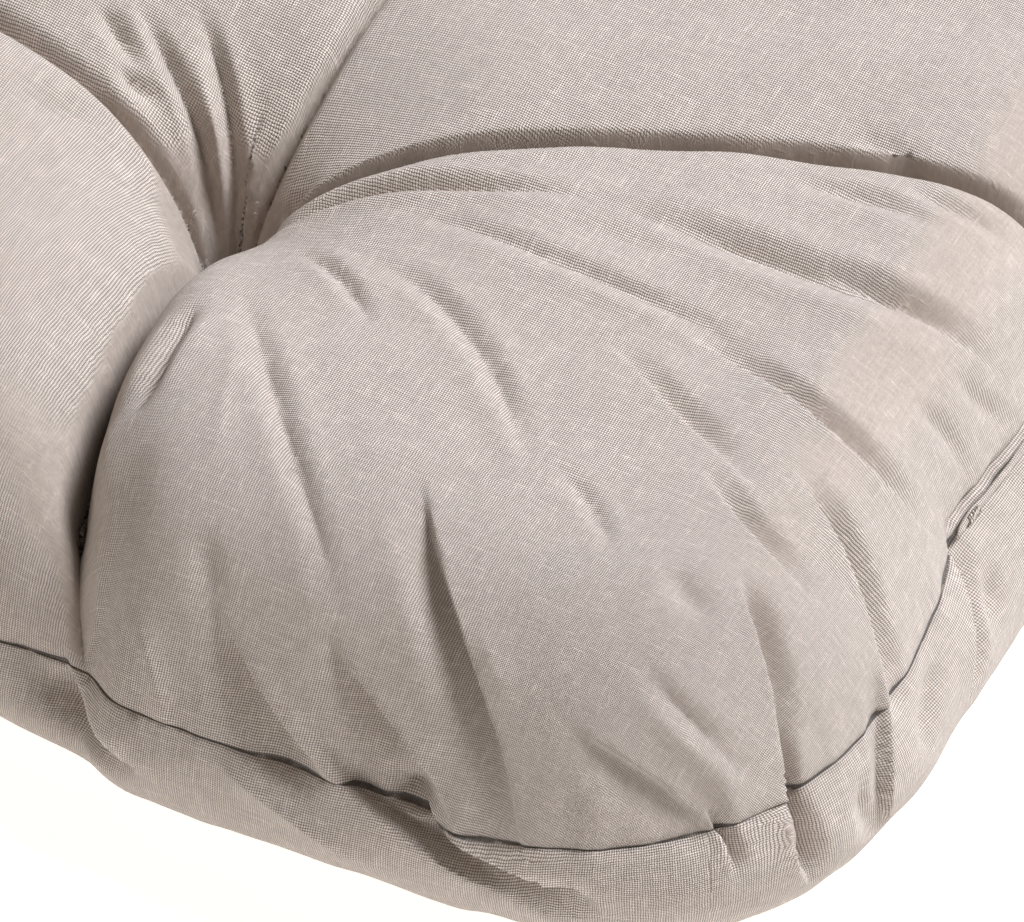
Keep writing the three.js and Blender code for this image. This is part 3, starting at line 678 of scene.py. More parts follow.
@dataclass
class CanvasRelief:
    """How the canvas stands off the smooth form: folds, pleats, puckers and seams, sizes in mm."""

    form: CushionForm
    corner_tuft: int = 4
    # How a fold is laid: in straight pieces, fading over a share of its run at both ends, and felt
    # out to some half-widths from it.
    fold_pieces: int = 12
    fold_ends: float = 0.42
    fold_reach: float = 4
    # Its section, in shares of its half-width and depth.
    nip_width: float = 0.3
    crest_power: float = 1.15
    shoulder: float = 0.3
    shoulder_at: float = 2.2
    shoulder_wide: float = 1.2
    lap_roll: float = 0.12
    lap_drop: float = 0.4
    lap_ramp: float = 2.5
    lap_over: float = 1.2
    # Pleats round the tufts that the photo doesn't show.
    pleats: int = 9
    pleat_start: float = 12
    pleat_length: float = 78
    pleat_shorter: float = 0.25
    pleat_parts: tuple[float, ...] = (0, 0.33, 0.66, 1)
    pleat_swing: float = 0.3
    pleat_uneven: float = 0.35
    pleat_deep: float = 5
    pleat_wide: float = 5.6
    # Puckers down the border, round to puckers_to on the front edge.
    puckers_to: float = 350
    pucker_pitch: float = 62
    pucker_pitch_uneven: float = 0.35
    pucker_inside: float = 3
    pucker_down: float = 0.75
    pucker_down_uneven: float = 0.2
    pucker_parts: Pair = (0.3, 0.7)
    pucker_deep: float = 4.2
    pucker_deep_uneven: float = 0.4
    pucker_wide: float = 7
    pucker_slant: float = 22
    # The seams, and the opening in the right end's that the closing seam fills.
    seam_deep: float = 0.45
    seam_wide: float = 0.2
    opening: Pair = (-124, 128)
    opening_ends: float = 5
    opening_deep: float = 3.6
    opening_inside: float = 1.15
    opening_wide: float = 0.7
    # The stitches gather the canvas beside the seams: two waves, each swelling and dying away.
    gather_high: float = 0.3
    gather_reach: float = 9
    gather_long: Pair = (2.1, 3.3)
    gather_beat: Pair = (9.7, 14.1)
    gather_second: float = 0.7
    # Washed canvas is never quite flat.
    lumps: int = 14
    lump_high: float = 0.5
    lump_sizes: Pair = (4, 11)
    lump_start: float = 6.28
    seed: int = 7
    folds: list[tuple[Fold, Run]] = field(init=False)
    waves: Array = field(init=False)

    def __post_init__(self) -> None:
        """Lays out every fold and picks the soft lumps."""
        x, y = self.form.tufts[self.corner_tuft]
        self.folds = [self.laid(fold, x, y) for fold in CORNER_FOLDS]
        for number, (x, y) in enumerate(self.form.tufts):
            if number != self.corner_tuft:
                self.folds += [self.laid(fold, x, y) for fold in self.fan(number)]
        self.folds += [self.laid(fold, 0, 0) for fold in self.puckers()]
        dice = np.random.default_rng(self.seed)
        turn = dice.uniform(0, 2 * np.pi, self.lumps)
        size = dice.uniform(*self.lump_sizes, self.lumps)
        start = dice.uniform(0, self.lump_start, self.lumps)
        self.waves = np.stack([np.cos(turn) / size, np.sin(turn) / size, start])

    def laid(self, fold: Fold, x: float, y: float) -> tuple[Fold, Run]:
        """A fold with its run, as offsets from a place in mm."""
        controls = [fold.start, *fold.bow, fold.to]
        return fold, Run([(x + dx, y + dy) for dx, dy in controls], self.fold_pieces)

    def fan(self, number: int) -> list[Fold]:
        """The pleats round a tuft that the photo doesn't show.

        Args:
            number: Which of the tufts it is.

        Returns:
            The pleats, as offsets from the tuft.
        """
        kinds = (CREASE, TROUGH, LAP_LEFT, LAP_RIGHT)
        made = []
        for k in range(self.pleats):
            turn = 2 * math.pi * (k + self.pleat_uneven * uneven(k, number)) / self.pleats
            shorter = self.pleat_shorter
            length = self.pleat_length * (1 - shorter + shorter * uneven(number, k))
            swing = self.pleat_swing * uneven(k + 3, number)
            steps = [(self.pleat_start + length * part, turn + swing * part) for part in self.pleat_parts]
            start, near, far, to = [(r * math.cos(a), r * math.sin(a)) for r, a in steps]
            deep = self.pleat_deep * (1 + self.pleat_uneven * uneven(k, number + 5))
            kind = kinds[(k + number) % len(kinds)]
            made.append(Fold(kind, start, (near, far), to, deep, self.pleat_wide))
        return made

    def puckers(self) -> list[Fold]:
        """Slanting folds down the border, all round but at the photographed corner.

        Returns:
            The folds, in plan.
        """
        form = self.form
        kinds = (TROUGH, CREASE, LAP_LEFT, TROUGH, LAP_RIGHT)
        first = form.seam_place(Edge.RIGHT, 0)
        last = form.perimeter + form.seam_place(Edge.FRONT, self.puckers_to)
        made = []
        for k in range(round((last - first) / self.pucker_pitch)):
            place = first + self.pucker_pitch * (k + 0.5 + self.pucker_pitch_uneven * uneven(k))
            slant = self.pucker_slant * uneven(k, 2)
            down = form.border_width * (self.pucker_down + self.pucker_down_uneven * uneven(k, 4))
            start = form.outside(place, -self.pucker_inside)
            to = form.outside(place + slant, down)
            near, far = [
                tuple(a + (b - a) * part for a, b in zip(start, to, strict=True))
                for part in self.pucker_parts
            ]
            deep = self.pucker_deep * (1 + self.pucker_deep_uneven * uneven(k, 6))
            made.append(Fold(kinds[k % len(kinds)], start, (near, far), to, deep, self.pucker_wide))
        return made

    def across(self, fold: Fold, distance: Array, side: Array) -> tuple[Array, Array]:
        """The section of a fold across its run.

        Args:
            fold: The fold.
            distance: Distances from its run, in mm.
            side: 1 on the left of the run and -1 on its right.

        Returns:
            How far the canvas stands out there, less than 0 where it draws in, and how far it
            slides to the left, both in mm.
        """
        t = distance / fold.wide
        still = np.zeros_like(t)
        if fold.kind is TROUGH:
            return -fold.deep * bell(t), still
        crest = np.exp(-(t**self.crest_power))
        if fold.kind is RIDGE:
            return fold.deep * crest, still
        nip = fold.nip * bell(t / self.nip_width)
        if fold.kind is CREASE:
            shoulder = self.shoulder * bell((t - self.shoulder_at) / self.shoulder_wide)
            return -fold.deep * (crest - shoulder) - nip, still
        roll_side = 1 if fold.kind is LAP_LEFT else -1
        over = t * side * roll_side
        under = smooth(-over / self.lap_drop)
        roll = self.lap_roll * np.exp(-(np.maximum(over, 0) ** self.crest_power))
        ramp = np.clip(1 - np.maximum(-over - self.lap_drop, 0) / self.lap_ramp, 0, 1)
        hollow = (1 - self.lap_roll) * smooth(ramp)
        slide = -roll_side * fold.over * bell(np.maximum(over, 0) / self.lap_over) * (1 - under)
        return fold.deep * (roll * (1 - under) - hollow * under) - nip, slide

    def height(self, places: Array) -> Array:
        """How far the canvas stands off the smooth form, in mm, at places on the box."""
        return self.offsets(places)[0]

    def offsets(self, places: Array) -> tuple[Array, Array]:
        """How the canvas lies off the smooth form.

        Args:
            places: Places on the box, one row (u, v, w) each.

        Returns:
            How far it stands off there, and how far it slides in the unrolled plan, all in mm.
        """
        form = self.form
        u, v, w = places.T
        x, y = form.panel(u, v)
        at, inside, _, _ = form.seam_near(x, y)
        level_x, level_y = form.plan(places)
        down = (1 - np.clip(w, -1, 1)) / 2 * form.border_width
        shown = w > -1
        total, slides = np.zeros_like(u), np.zeros((len(u), 2))
        for fold, run in self.folds:
            near = run.near(level_x, level_y, self.fold_reach * fold.wide) & shown
            if near.any():
                distance, side, done, left = run.beside(level_x[near], level_y[near])
                fade = smooth(done / self.fold_ends) * smooth((1 - done) / self.fold_ends)
                high, slide = self.across(fold, distance, side)
                total[near] += high * fade
                slides[near] += left * (slide * fade)[:, None]
        along_x, along_y, start = self.waves[:, :, None]
        lumps = np.sin(level_x * along_x + level_y * along_y + start).sum(axis=0)
        total += np.where(shown, self.lump_high * lumps / math.sqrt(self.lumps), 0)
        to_top = np.where(w >= 1, inside, down)
        to_bottom = np.where(w <= -1, inside, form.border_width - down)
        (long_1, long_2), (beat_1, beat_2) = self.gather_long, self.gather_beat
        gather = np.sin(at / long_1) * np.sin(at / beat_1 + 1)
        gather += self.gather_second * np.sin(at / long_2 + 2) * np.sin(at / beat_2)
        for away in (to_top, to_bottom):
            total += self.gather_high * gather * bell(away / self.gather_reach)
            total -= self.seam_deep * bell(away / self.seam_wide)
        first, last = self.opening
        within = smooth((y - first) / self.opening_ends) * smooth((last - y) / self.opening_ends)
        within = within * (x > form.arc_x)
        beside = bell((inside - self.opening_inside) / self.opening_wide) * (w >= 1)
        return total - self.opening_deep * within * beside, slides


def sides_of(triangles: Array) -> Array:
    """The corner numbers of each triangle's three sides, the lower one first."""
    return np.sort(triangles[:, [[0, 1], [1, 2], [2, 0]]].reshape(-1, 2), axis=1)


@dataclass
class CoverNet:
    """A triangle net over the box that is cut finer where the cover turns or is seen close to."""

    form: CushionForm
    relief: CanvasRelief
    grid: float = 16
    seam_rows: Pair = (0.2, 3)
    seam_clear: float = 2
    # The part of the cover that the photo shows: a turned rectangle, from its tuft.
    seen_centre: Pair = (66, -61)
    seen_turn: float = math.radians(27)
    seen_half: Pair = (134, 116)
    # In the photo, elsewhere and underneath: the longest side of a triangle, the shortest that is
    # still cut to, and how far the net may lie off the cover, in mm.
    longest: tuple[float, float, float] = (3.2, 12, 24)
    shortest: tuple[float, float, float] = (0.6, 4, 10)
    tolerance: tuple[float, float, float] = (0.13, 0.5, 0.9)
    rounds: int = 16

    def lines(self, half: float, grid: float) -> Array:
        """Grid lines across a face, close together at its seams.

        Args:
            half: Half the face's size, in mm.
            grid: How far apart the lines lie, in mm.

        Returns:
            Their places, from -1 to 1.
        """
        count = max(2, round(2 * half / grid))
        plain = np.linspace(-1, 1, count + 1)
        plain = plain[np.abs(plain) < 1 - (self.seam_rows[1] + self.seam_clear) / half]
        rows = 1 - np.array([0, *self.seam_rows]) / half
        return np.sort(np.concatenate([plain, rows, -rows]))

    def start(self) -> tuple[Array, Array]:
        """Makes the coarse net.

        Returns:
            Its places on the box, one row (u, v, w) each, and its triangles, three numbers each.
        """
        form = self.form
        axes = [
            self.lines(form.half_x, self.grid),
            self.lines(form.half_y, self.grid),
            self.lines(form.border_width / 2, self.grid),
        ]
        places, triangles, count = [], [], 0
        for fixed in range(3):
            first, second = (fixed + 1) % 3, (fixed + 2) % 3
            a, b = np.meshgrid(axes[first], axes[second], indexing="ij")
            number = np.arange(a.size).reshape(a.shape)
            p, q, r, s = number[:-1, :-1], number[1:, :-1], number[1:, 1:], number[:-1, 1:]
            faces = np.concatenate([np.stack(t, axis=-1).reshape(-1, 3) for t in ((p, q, r), (p, r, s))])
            for end in (1.0, -1.0):
                place = np.empty((a.size, 3))
                place[:, first], place[:, second], place[:, fixed] = a.ravel(), b.ravel(), end
                places.append(place)
                triangles.append((faces if end > 0 else faces[:, ::-1]) + count)
                count += a.size
        joined, number = np.unique(np.round(np.concatenate(places), 9), axis=0, return_inverse=True)
        return joined, number.ravel()[np.concatenate(triangles)]

    def zone(self, places: Array, points: Array) -> Array:
        """How closely places are seen.

        Args:
            places: Places on the box, one row (u, v, w) each.
            points: The smooth form's points there, in mm.

        Returns:
            0 for places in the photo, 1 elsewhere and 2 underneath.
        """
        x, y = self.form.tufts[self.relief.corner_tuft]
        dx, dy = points[:, 0] - x, points[:, 1] - y
        cos, sin = math.cos(self.seen_turn), math.sin(self.seen_turn)
        right = dx * cos + dy * sin - self.seen_centre[0]
        up = dy * cos - dx * sin - self.seen_centre[1]
        seen = (np.abs(right) < self.seen_half[0]) & (np.abs(up) < self.seen_half[1])
        return np.where(places[:, 2] <= -1, 2, np.where(seen, 0, 1))

    def coarse(self, places: Array, points: Array, heights: Array, sides: Array) -> Array:
        """Which sides of the net are too coarse.

        Args:
            places: The net's places on the box, one row (u, v, w) each.
            points: The smooth form's points there, in mm.
            heights: How far the canvas stands off them, in mm.
            sides: The numbers of each side's two ends.

        Returns:
            True for each side that has to be cut.
        """
        a, b = sides.T
        length = np.linalg.norm(points[a] - points[b], axis=1)
        middle = (places[a] + places[b]) / 2
        middle_points, middle_heights = self.form.points(middle), self.relief.height(middle)
        flat = (points[a] + points[b]) / 2
        level = (heights[a] + heights[b]) / 2
        off = np.linalg.norm(middle_points - flat, axis=1) + np.abs(middle_heights - level)
        zone = self.zone(middle, middle_points)
        longest, shortest, tolerance = (
            np.array(sizes)[zone] for sizes in (self.longest, self.shortest, self.tolerance)
        )
        return (length > longest) | ((off > tolerance) & (length > 2 * shortest))

    def cut(self) -> tuple[Array, Array, Array, Array]:
        """Cuts the net until it follows the cover.

        Each triangle is cut across its longest side, and its neighbours with it, so no gap opens.

        Returns:
            The places, the smooth form's points, the relief's heights and the triangles.
        """
        places, triangles = self.start()
        points, heights = self.form.points(places), self.relief.height(places)
        good = np.empty(0, dtype=np.int64)
        for _ in range(self.rounds):
            sides = sides_of(triangles)
            # One whole number stands for each side, however many triangles share it.
            keys = sides[:, 0].astype(np.int64) * 2**31 + sides[:, 1]
            keys, first, number = np.unique(keys, return_index=True, return_inverse=True)
            sides, number = sides[first], number.reshape(-1, 3)
            a, b = sides.T
            length = np.linalg.norm(points[a] - points[b], axis=1)
            todo = np.flatnonzero(~np.isin(keys, good))
            wanted = self.coarse(places, points, heights, sides[todo])
            good = np.concatenate([good, keys[todo[~wanted]]])
            marked = np.zeros(len(keys), dtype=bool)
            marked[todo[wanted]] = True
            turn = np.argmax(length[number], axis=1)
            rows = np.arange(len(triangles))[:, None]
            order = (turn[:, None] + np.arange(3)) % 3
            triangles, number = triangles[rows, order], number[rows, order]
            while True:
                open_faces = marked[number].any(axis=1) & ~marked[number[:, 0]]
                if not open_faces.any():
                    break
                marked[number[open_faces, 0]] = True
            if not marked.any():
                break
            made = np.cumsum(marked) - 1 + len(places)
            middle = (places[a[marked]] + places[b[marked]]) / 2
            places = np.concatenate([places, middle])
            points = np.concatenate([points, self.form.points(middle)])
            heights = np.concatenate([heights, self.relief.height(middle)])
            triangles = self.split(triangles, marked[number], made[number])
        return places, points, heights, triangles

    @staticmethod
    def split(triangles: Array, cut: Array, made: Array) -> Array:
        """Splits triangles whose first side is their longest.

        Args:
            triangles: Three corner numbers a row.
            cut: Which of their three sides are cut.
            made: The number of the point in the middle of each side.

        Returns:
            The new triangles.
        """
        (a, b, c), (p, q, r) = triangles.T, made.T
        one, two, three = cut.T
        cases = (
            (~one, (a, b, c)),
            (one & ~three, (a, p, c)),
            (one & three, (a, p, r)),
            (one & three, (p, c, r)),
            (one & ~two, (p, b, c)),
            (one & two, (p, b, q)),
            (one & two, (p, q, c)),
        )
        return np.concatenate([np.stack(corners, axis=1)[which] for which, corners in cases])


def linear(colour: str) -> tuple[float, float, float, float]:
    """Turns an sRGB hex colour into linear light.

    Args:
        colour: The colour, such as "#EADFD7".

    Returns:
        Its red, green and blue, and an alpha of 1.
    """
    shares = [int(colour[i : i + 2], 16) / 255 for i in (1, 3, 5)]
    red, green, blue = (s / 12.92 if s <= 0.04045 else ((s + 0.055) / 1.055) ** 2.4 for s in shares)
    return red, green, blue, 1


def node(
    tree: bpy.types.NodeTree, kind: str, inputs: dict[int | str, object] | None = None, **settings: object
) -> bpy.types.Node:
    """Adds a shader node.

    Args:
        tree: The tree that it goes in.
        kind: Its type name.
        inputs: What goes into its inputs, by name or number: a value, another node's output, or a
            node, which stands for its first output.
        settings: Its own settings, such as an operation.

    Returns:
        The node.
    """
    made = tree.nodes.new(kind)
    for name, value in settings.items():
        setattr(made, name, value)
    for name, value in (inputs or {}).items():
        if isinstance(value, bpy.types.Node):
            value = value.outputs[0]
        if isinstance(value, Socket):
            tree.links.new(value, made.inputs[name])
        else:
            made.inputs[name].default_value = value
    return made


@dataclass(frozen=True)
class Canvas:
    """Plain-weave cotton canvas in undyed greige, washed and unpressed.

    Each thread passes over one and under the next, which gives the eye a fine even grain, and the
    spun yarn is thicker in places, which gives it short pale streaks along the threads.
    """

    name: str
    colour: str = "#EADFD7"
    # The gaps between the threads take a darker colour: painted shade where the threads shadow them.
    gap_shade_colour: str = "#857668"
    # The real threads lie 0.46 mm apart. They are drawn at 0.58 mm, so that they show in the photo.
    thread: float = 0.00058
    thread_high: float = 0.0002
    # Where the tone runs from the gap's to the thread's: 0 is a gap's bottom and 2 a thread's top.
    thread_edge: Pair = (0.3, 1.7)
    # The threads sway by up to about half their spacing, once in some 4 mm.
    sway: float = 0.9
    sways_a_metre: float = 260
    sway_detail: float = 1
    # Slubs are the thick places of the yarn: a few mm long and one or two threads across.
    slub_long: float = 0.007
    slub_across: float = 0.5
    slub_high: float = 0.0001
    slub_detail: float = 1.5
    slub_thick: Pair = (0.58, 0.8)
    # Fine and coarse fibres give a speckle, about every 0.8 mm, and paler and darker yarns.
    speckle: float = 0.1
    speckles_a_metre: float = 1300
    speckle_detail: float = 2
    speckle_range: Pair = (0.25, 0.75)
    streak: float = 0.12
    streak_range: Pair = (0.6, 1.4)
    # The tone of canvas that is gathered tight: 0 is the gap's and 1 the thread's.
    even_tone: float = 0.34
    # Loose fibre ends make it matt, with a faint sheen at a grazing angle.
    roughness: float = 0.92
    gloss: float = 0.25
    sheen: float = 0.12
    sheen_roughness: float = 0.6
    # How bright the painted shade leaves the canvas deep in a seam, where hardly any light gets in.
    seam_shade: float = 0.22

    def weave(self, tree: bpy.types.NodeTree, cloth: Socket) -> Socket:
        """Adds the threads, which pass over and under each other in turn.

        Args:
            tree: The tree that they go in.
            cloth: Places on the flat cloth, in metres.

        Returns:
            How high on a thread a place lies, from 0 in the gaps to 1.
        """
        sways = {"Vector": cloth, "Scale": self.sways_a_metre, "Detail": self.sway_detail}
        sway = node(tree, "ShaderNodeTexNoise", sways).outputs["Color"]
        # Noise lies about 0.5, so half is taken off, and the threads sway both ways.
        shift = node(tree, "ShaderNodeVectorMath", {0: sway, 1: (0.5, 0.5, 0.5)}, operation="SUBTRACT")
        swayed = {0: shift, 1: [self.thread * self.sway] * 3, 2: cloth}
        place = node(tree, "ShaderNodeVectorMath", swayed, operation="MULTIPLY_ADD")
        apart = node(tree, "ShaderNodeSeparateXYZ", {0: place})
        waves = []
        for along in apart.outputs[:2]:
            turn = node(tree, "ShaderNodeMath", {0: along, 1: math.pi / self.thread}, operation="MULTIPLY")
            waves.append(node(tree, "ShaderNodeMath", {0: turn}, operation="SINE"))
        both = node(tree, "ShaderNodeMath", {0: waves[0], 1: waves[1]}, operation="MULTIPLY")
        threads = []
        for wave, over in zip(waves, ("ADD", "SUBTRACT"), strict=True):
            size = node(tree, "ShaderNodeMath", {0: wave}, operation="ABSOLUTE")
            threads.append(node(tree, "ShaderNodeMath", {0: size, 1: both}, operation=over))
        upper = node(tree, "ShaderNodeMath", {0: threads[0], 1: threads[1]}, operation="MAXIMUM")
        gap, top = self.thread_edge
        edge = {0: upper, 1: gap, 2: top, 3: 0, 4: 1}
        return node(tree, "ShaderNodeMapRange", edge, interpolation_type="SMOOTHSTEP").outputs[0]

    def yarn(self, tree: bpy.types.NodeTree, cloth: Socket) -> tuple[Socket, Socket]:
        """Adds the yarn's unevenness, in streaks along the threads both ways.

        Args:
            tree: The tree that it goes in.
            cloth: Places on the flat cloth, in metres.

        Returns:
            Where the slubs lie, from 0 to 1, and how bright the yarns are, about 1.
        """
        thin, thick = self.slub_thick
        along, across = 1 / self.slub_long, self.slub_across / self.thread
        slubs, streaks = [], []
        for scale in ((along, across, 1), (across, along, 1)):
            laid = node(tree, "ShaderNodeVectorMath", {0: cloth, 1: scale}, operation="MULTIPLY")
            uneven_yarn = {"Vector": laid, "Scale": 1, "Detail": self.slub_detail}
            streaks.append(node(tree, "ShaderNodeTexNoise", uneven_yarn))
            swelling = {0: streaks[-1], 1: thin, 2: thick, 3: 0, 4: 1}
            slubs.append(node(tree, "ShaderNodeMapRange", swelling, interpolation_type="SMOOTHSTEP"))
        slub = node(tree, "ShaderNodeMath", {0: slubs[0], 1: slubs[1]}, operation="MAXIMUM").outputs[0]
        both = node(tree, "ShaderNodeMath", {0: streaks[0], 1: streaks[1]}, operation="ADD")
        dark, pale = self.streak_range
        tones = {0: both, 1: dark, 2: pale, 3: 1 - self.streak, 4: 1 + self.streak}
        return slub, node(tree, "ShaderNodeMapRange", tones).outputs[0]

    def material(self) -> bpy.types.Material:
        """Makes the canvas as a material.

        Returns:
            The material.
        """
        made = bpy.data.materials.new(self.name)
        made.use_nodes = True
        tree = made.node_tree
        tree.nodes.clear()
        cloth = node(tree, "ShaderNodeUVMap", uv_map="cloth").outputs[0]
        # Where the canvas is gathered tight its threads close up, and the grain runs into one tone.
        gathered = node(tree, "ShaderNodeAttribute", attribute_name="gathered").outputs["Fac"]
        closed = {0: gathered, 2: self.weave(tree, cloth), 3: self.even_tone}
        grain = node(tree, "ShaderNodeMix", closed).outputs[0]
        # The grain runs from the painted shade of the gaps to the threads' own colour.
        colours = {0: grain, 6: linear(self.gap_shade_colour), 7: linear(self.colour)}
        colour = node(tree, "ShaderNodeMix", colours, data_type="RGBA").outputs[2]
        slub, yarn = self.yarn(tree, cloth)
        bright = node(
            tree,
            "ShaderNodeMath",
            {0: slub, 1: self.speckle, 2: 1 - self.speckle / 2},
            operation="MULTIPLY_ADD",
        )
        fibres = {"Vector": cloth, "Scale": self.speckles_a_metre, "Detail": self.speckle_detail}
        fine = node(tree, "ShaderNodeTexNoise", fibres)
        dark, pale = self.speckle_range
        speckles = {0: fine, 1: dark, 2: pale, 3: 1 - self.speckle, 4: 1 + self.speckle}
        # Painted shade: the canvas is darkened in a thin line along each seam, where its joint lies in
        # shadow.
        seam = node(tree, "ShaderNodeAttribute", attribute_name="seam").outputs["Fac"]
        shade = {0: seam, 1: 0, 2: 1, 3: 1, 4: self.seam_shade}
        for factor in (
            node(tree, "ShaderNodeMapRange", speckles),
            yarn,
            node(tree, "ShaderNodeMapRange", shade),
        ):
            bright = node(tree, "ShaderNodeMath", {0: bright, 1: factor}, operation="MULTIPLY")
        colour = node(tree, "ShaderNodeVectorMath", {0: colour, "Scale": bright}, operation="SCALE")
        relief = {0: slub, 1: self.slub_high / self.thread_high, 2: grain}
        raised = node(tree, "ShaderNodeMath", relief, operation="MULTIPLY_ADD")
        surface = {
            "Base Color": colour,
            "Roughness": self.roughness,
            "Normal": node(tree, "ShaderNodeBump", {"Height": raised, "Distance": self.thread_high}),
            "Specular IOR Level": self.gloss,
            "Sheen Weight": self.sheen,
            "Sheen Roughness": self.sheen_roughness,
        }
        shader = node(tree, "ShaderNodeBsdfPrincipled", surface)
        node(tree, "ShaderNodeOutputMaterial", {0: shader})
        return made


def piece(name: str, points: Array, faces: Array, cloth: Array, seam: Array) -> bpy.types.Object:
    """Makes one smooth mesh piece.

    Args:
        name: The piece's name.
        points: Its points in mm, one row (x, y, z) each.
        faces: The numbers of each face's corners.
        cloth: Where each face corner lies on the flat cloth, in mm.
        seam: How far each point lies in the painted shade along a seam, from 0 to 1.

    Returns:
        The object, in metres.
    """
    mesh = bpy.data.meshes.new(name)
    mesh.from_pydata((points * MM).tolist(), [], faces.tolist())
    mesh.polygons.foreach_set("use_smooth", np.ones(len(mesh.polygons), dtype=bool))
    mesh.uv_layers.new(name="cloth").data.foreach_set("uv", (cloth.reshape(-1, 2) * MM).ravel())
    mesh.attributes.new("seam", "FLOAT", "POINT").data.foreach_set("value", seam)
    made = bpy.data.objects.new(name, mesh)
    bpy.context.scene.collection.objects.link(made)
    return made


@dataclass
class Cover:
    """The filled cover: top and bottom panels and a border, as one closed piece."""

    form: CushionForm
    canvas: Canvas
    # The width of the painted shade along each seam, in mm.
    seam_shade_width: float = 0.16
    # How the flat cloth is relaxed: rounds, and how much each point follows its neighbours.
    relax_rounds: int = 60
    relax_even: float = 0.3
    # The give of the threads, as a logarithm, where the canvas starts and ends to close up.
    gather_from: float = 0.42
    gather_to: float = 0.6
    gather_rounds: int = 8
    least_side: float = 1e-3
    least_area: float = 1e-9

    @staticmethod
    def normals(points: Array, triangles: Array) -> Array:
        """The outward normals of the smooth form.

        Args:
            points: Its points, in mm.
            triangles: Three corner numbers a row.

        Returns:
            One normal (x, y, z) for each point.
        """
        a, b, c = points[triangles[:, 0]], points[triangles[:, 1]], points[triangles[:, 2]]
        faces = np.cross(b - a, c - a)
        made = np.zeros_like(points)
        for corner in range(3):
            for axis in range(3):
                made[:, axis] += np.bincount(triangles[:, corner], faces[:, axis], len(points))
        return made / np.linalg.norm(made, axis=1)[:, None]

    def relaxed(self, flat: Array, triangles: Array, points: Array) -> Array:
        """Moves places on the flat cloth until they lie as far apart as on the filled cover.

        Args:
            flat: Where each point lies on the flat cloth, in mm.
            triangles: The triangles of that cloth, three corner numbers a row.
            points: The points of the filled cover, in mm.

        Returns:
            The places that the threads then have.
        """
        a, b = np.unique(sides_of(triangles), axis=0).T
        long = np.linalg.norm(points[a] - points[b], axis=1)
        count = len(flat)
        share = np.maximum(np.bincount(a, minlength=count) + np.bincount(b, minlength=count), 1)
        cut = flat
        for _ in range(self.relax_rounds):
            step = flat[b] - flat[a]
            step[:, 0] = self.form.along(flat[b, 0], flat[a, 0])
            now = np.maximum(np.linalg.norm(step, axis=1), TINY)
            pull = step * ((now - long) / now / 2)[:, None]
            moved = flat - cut
            pull += (moved[b] - moved[a]) * self.relax_even
            moves = [np.bincount(a, part, count) - np.bincount(b, part, count) for part in pull.T]
            flat = flat + np.stack(moves, axis=1) / share[:, None]
        return flat

    def flat(self, places: Array, triangles: Array, points: Array) -> Array:
        """Lays the cover out on the flat cut panels.

        Args:
            places: Places on the box, one row (u, v, w) each.
            triangles: Three corner numbers a row.
            points: The points of the filled cover, in mm.

        Returns:
            Where each triangle's corners lie on the flat cloth, in mm.
        """
        form = self.form
        u, v, w = places.T
        x, y = form.panel(u, v)
        at, inside, nx, ny = form.seam_near(x, y)
        rise = form.crown_rise * np.clip(1 - inside / form.crown_width, 0, 1) ** 2
        panel = np.stack([x + nx * rise, y + ny * rise], axis=1)
        border = np.stack([at, (1 - w) / 2 * form.border_width], axis=1)
        corners = w[triangles]
        on_border = ~((corners >= 1).all(axis=1) | (corners <= -1).all(axis=1))
        made = self.relaxed(panel, triangles[~on_border], points)[triangles]
        side = self.relaxed(border, triangles[on_border], points)[triangles]
        side[:, :, 0] = side[:, :1, 0] + form.along(side[:, :, 0], side[:, :1, 0])
        made[on_border] = side[on_border]
        return made

    def gathered(self, cloth: Array, triangles: Array, points: Array) -> Array:
        """How tightly the canvas is gathered, from how far its threads had to give.

        Args:
            cloth: Where each triangle's corners lie on the flat cloth, in mm.
            triangles: Three corner numbers a row.
            points: The points of the filled cover, in mm.

        Returns:
            A share from 0 to 1 for each point.
        """
        corners = points[triangles]
        long = np.linalg.norm(corners - np.roll(corners, 1, axis=1), axis=2)
        flat = np.linalg.norm(cloth - np.roll(cloth, 1, axis=1), axis=2)
        least = self.least_side
        give = np.abs(np.log(np.maximum(flat, least) / np.maximum(long, least))).max(axis=1)
        area = np.linalg.norm(
            np.cross(corners[:, 1] - corners[:, 0], corners[:, 2] - corners[:, 0]), axis=1
        )
        count = len(points)
        numbers, weight = triangles.ravel(), np.repeat(area, 3)
        whole = np.maximum(np.bincount(numbers, weight, count), self.least_area)
        # The mean over a point's triangles is taken again and again, so that it changes softly.
        for _ in range(self.gather_rounds):
            mean = np.bincount(numbers, weight * np.repeat(give, 3), count) / whole
            give = mean[triangles].mean(axis=1)
        return smooth((mean - self.gather_from) / (self.gather_to - self.gather_from))

    def slid(self, places: Array, normals: Array, slides: Array) -> Array:
        """Turns slides in the unrolled plan into moves along the cover.

        Args:
            places: Places on the box, one row (u, v, w) each.
            normals: The smooth form's normals there.
            slides: The slides in the unrolled plan, in mm.

        Returns:
            One move (x, y, z) for each place, in mm.
        """
        u, v, w = places.T
        _, _, nx, ny = self.form.seam_near(*self.form.panel(u, v))
        down = slides[:, 0] * nx + slides[:, 1] * ny
        along = slides[:, 1] * nx - slides[:, 0] * ny
        border = (np.abs(w) < 1)[:, None]
        on_border = np.stack([-ny * along, nx * along, -down], axis=1)
        move = np.where(border, on_border, np.stack([*slides.T, np.zeros_like(u)], axis=1))
        level = move - normals * (move * normals).sum(axis=1)[:, None]
        long = np.maximum(np.linalg.norm(level, axis=1), TINY)
        return level * (np.linalg.norm(slides, axis=1) / long)[:, None]

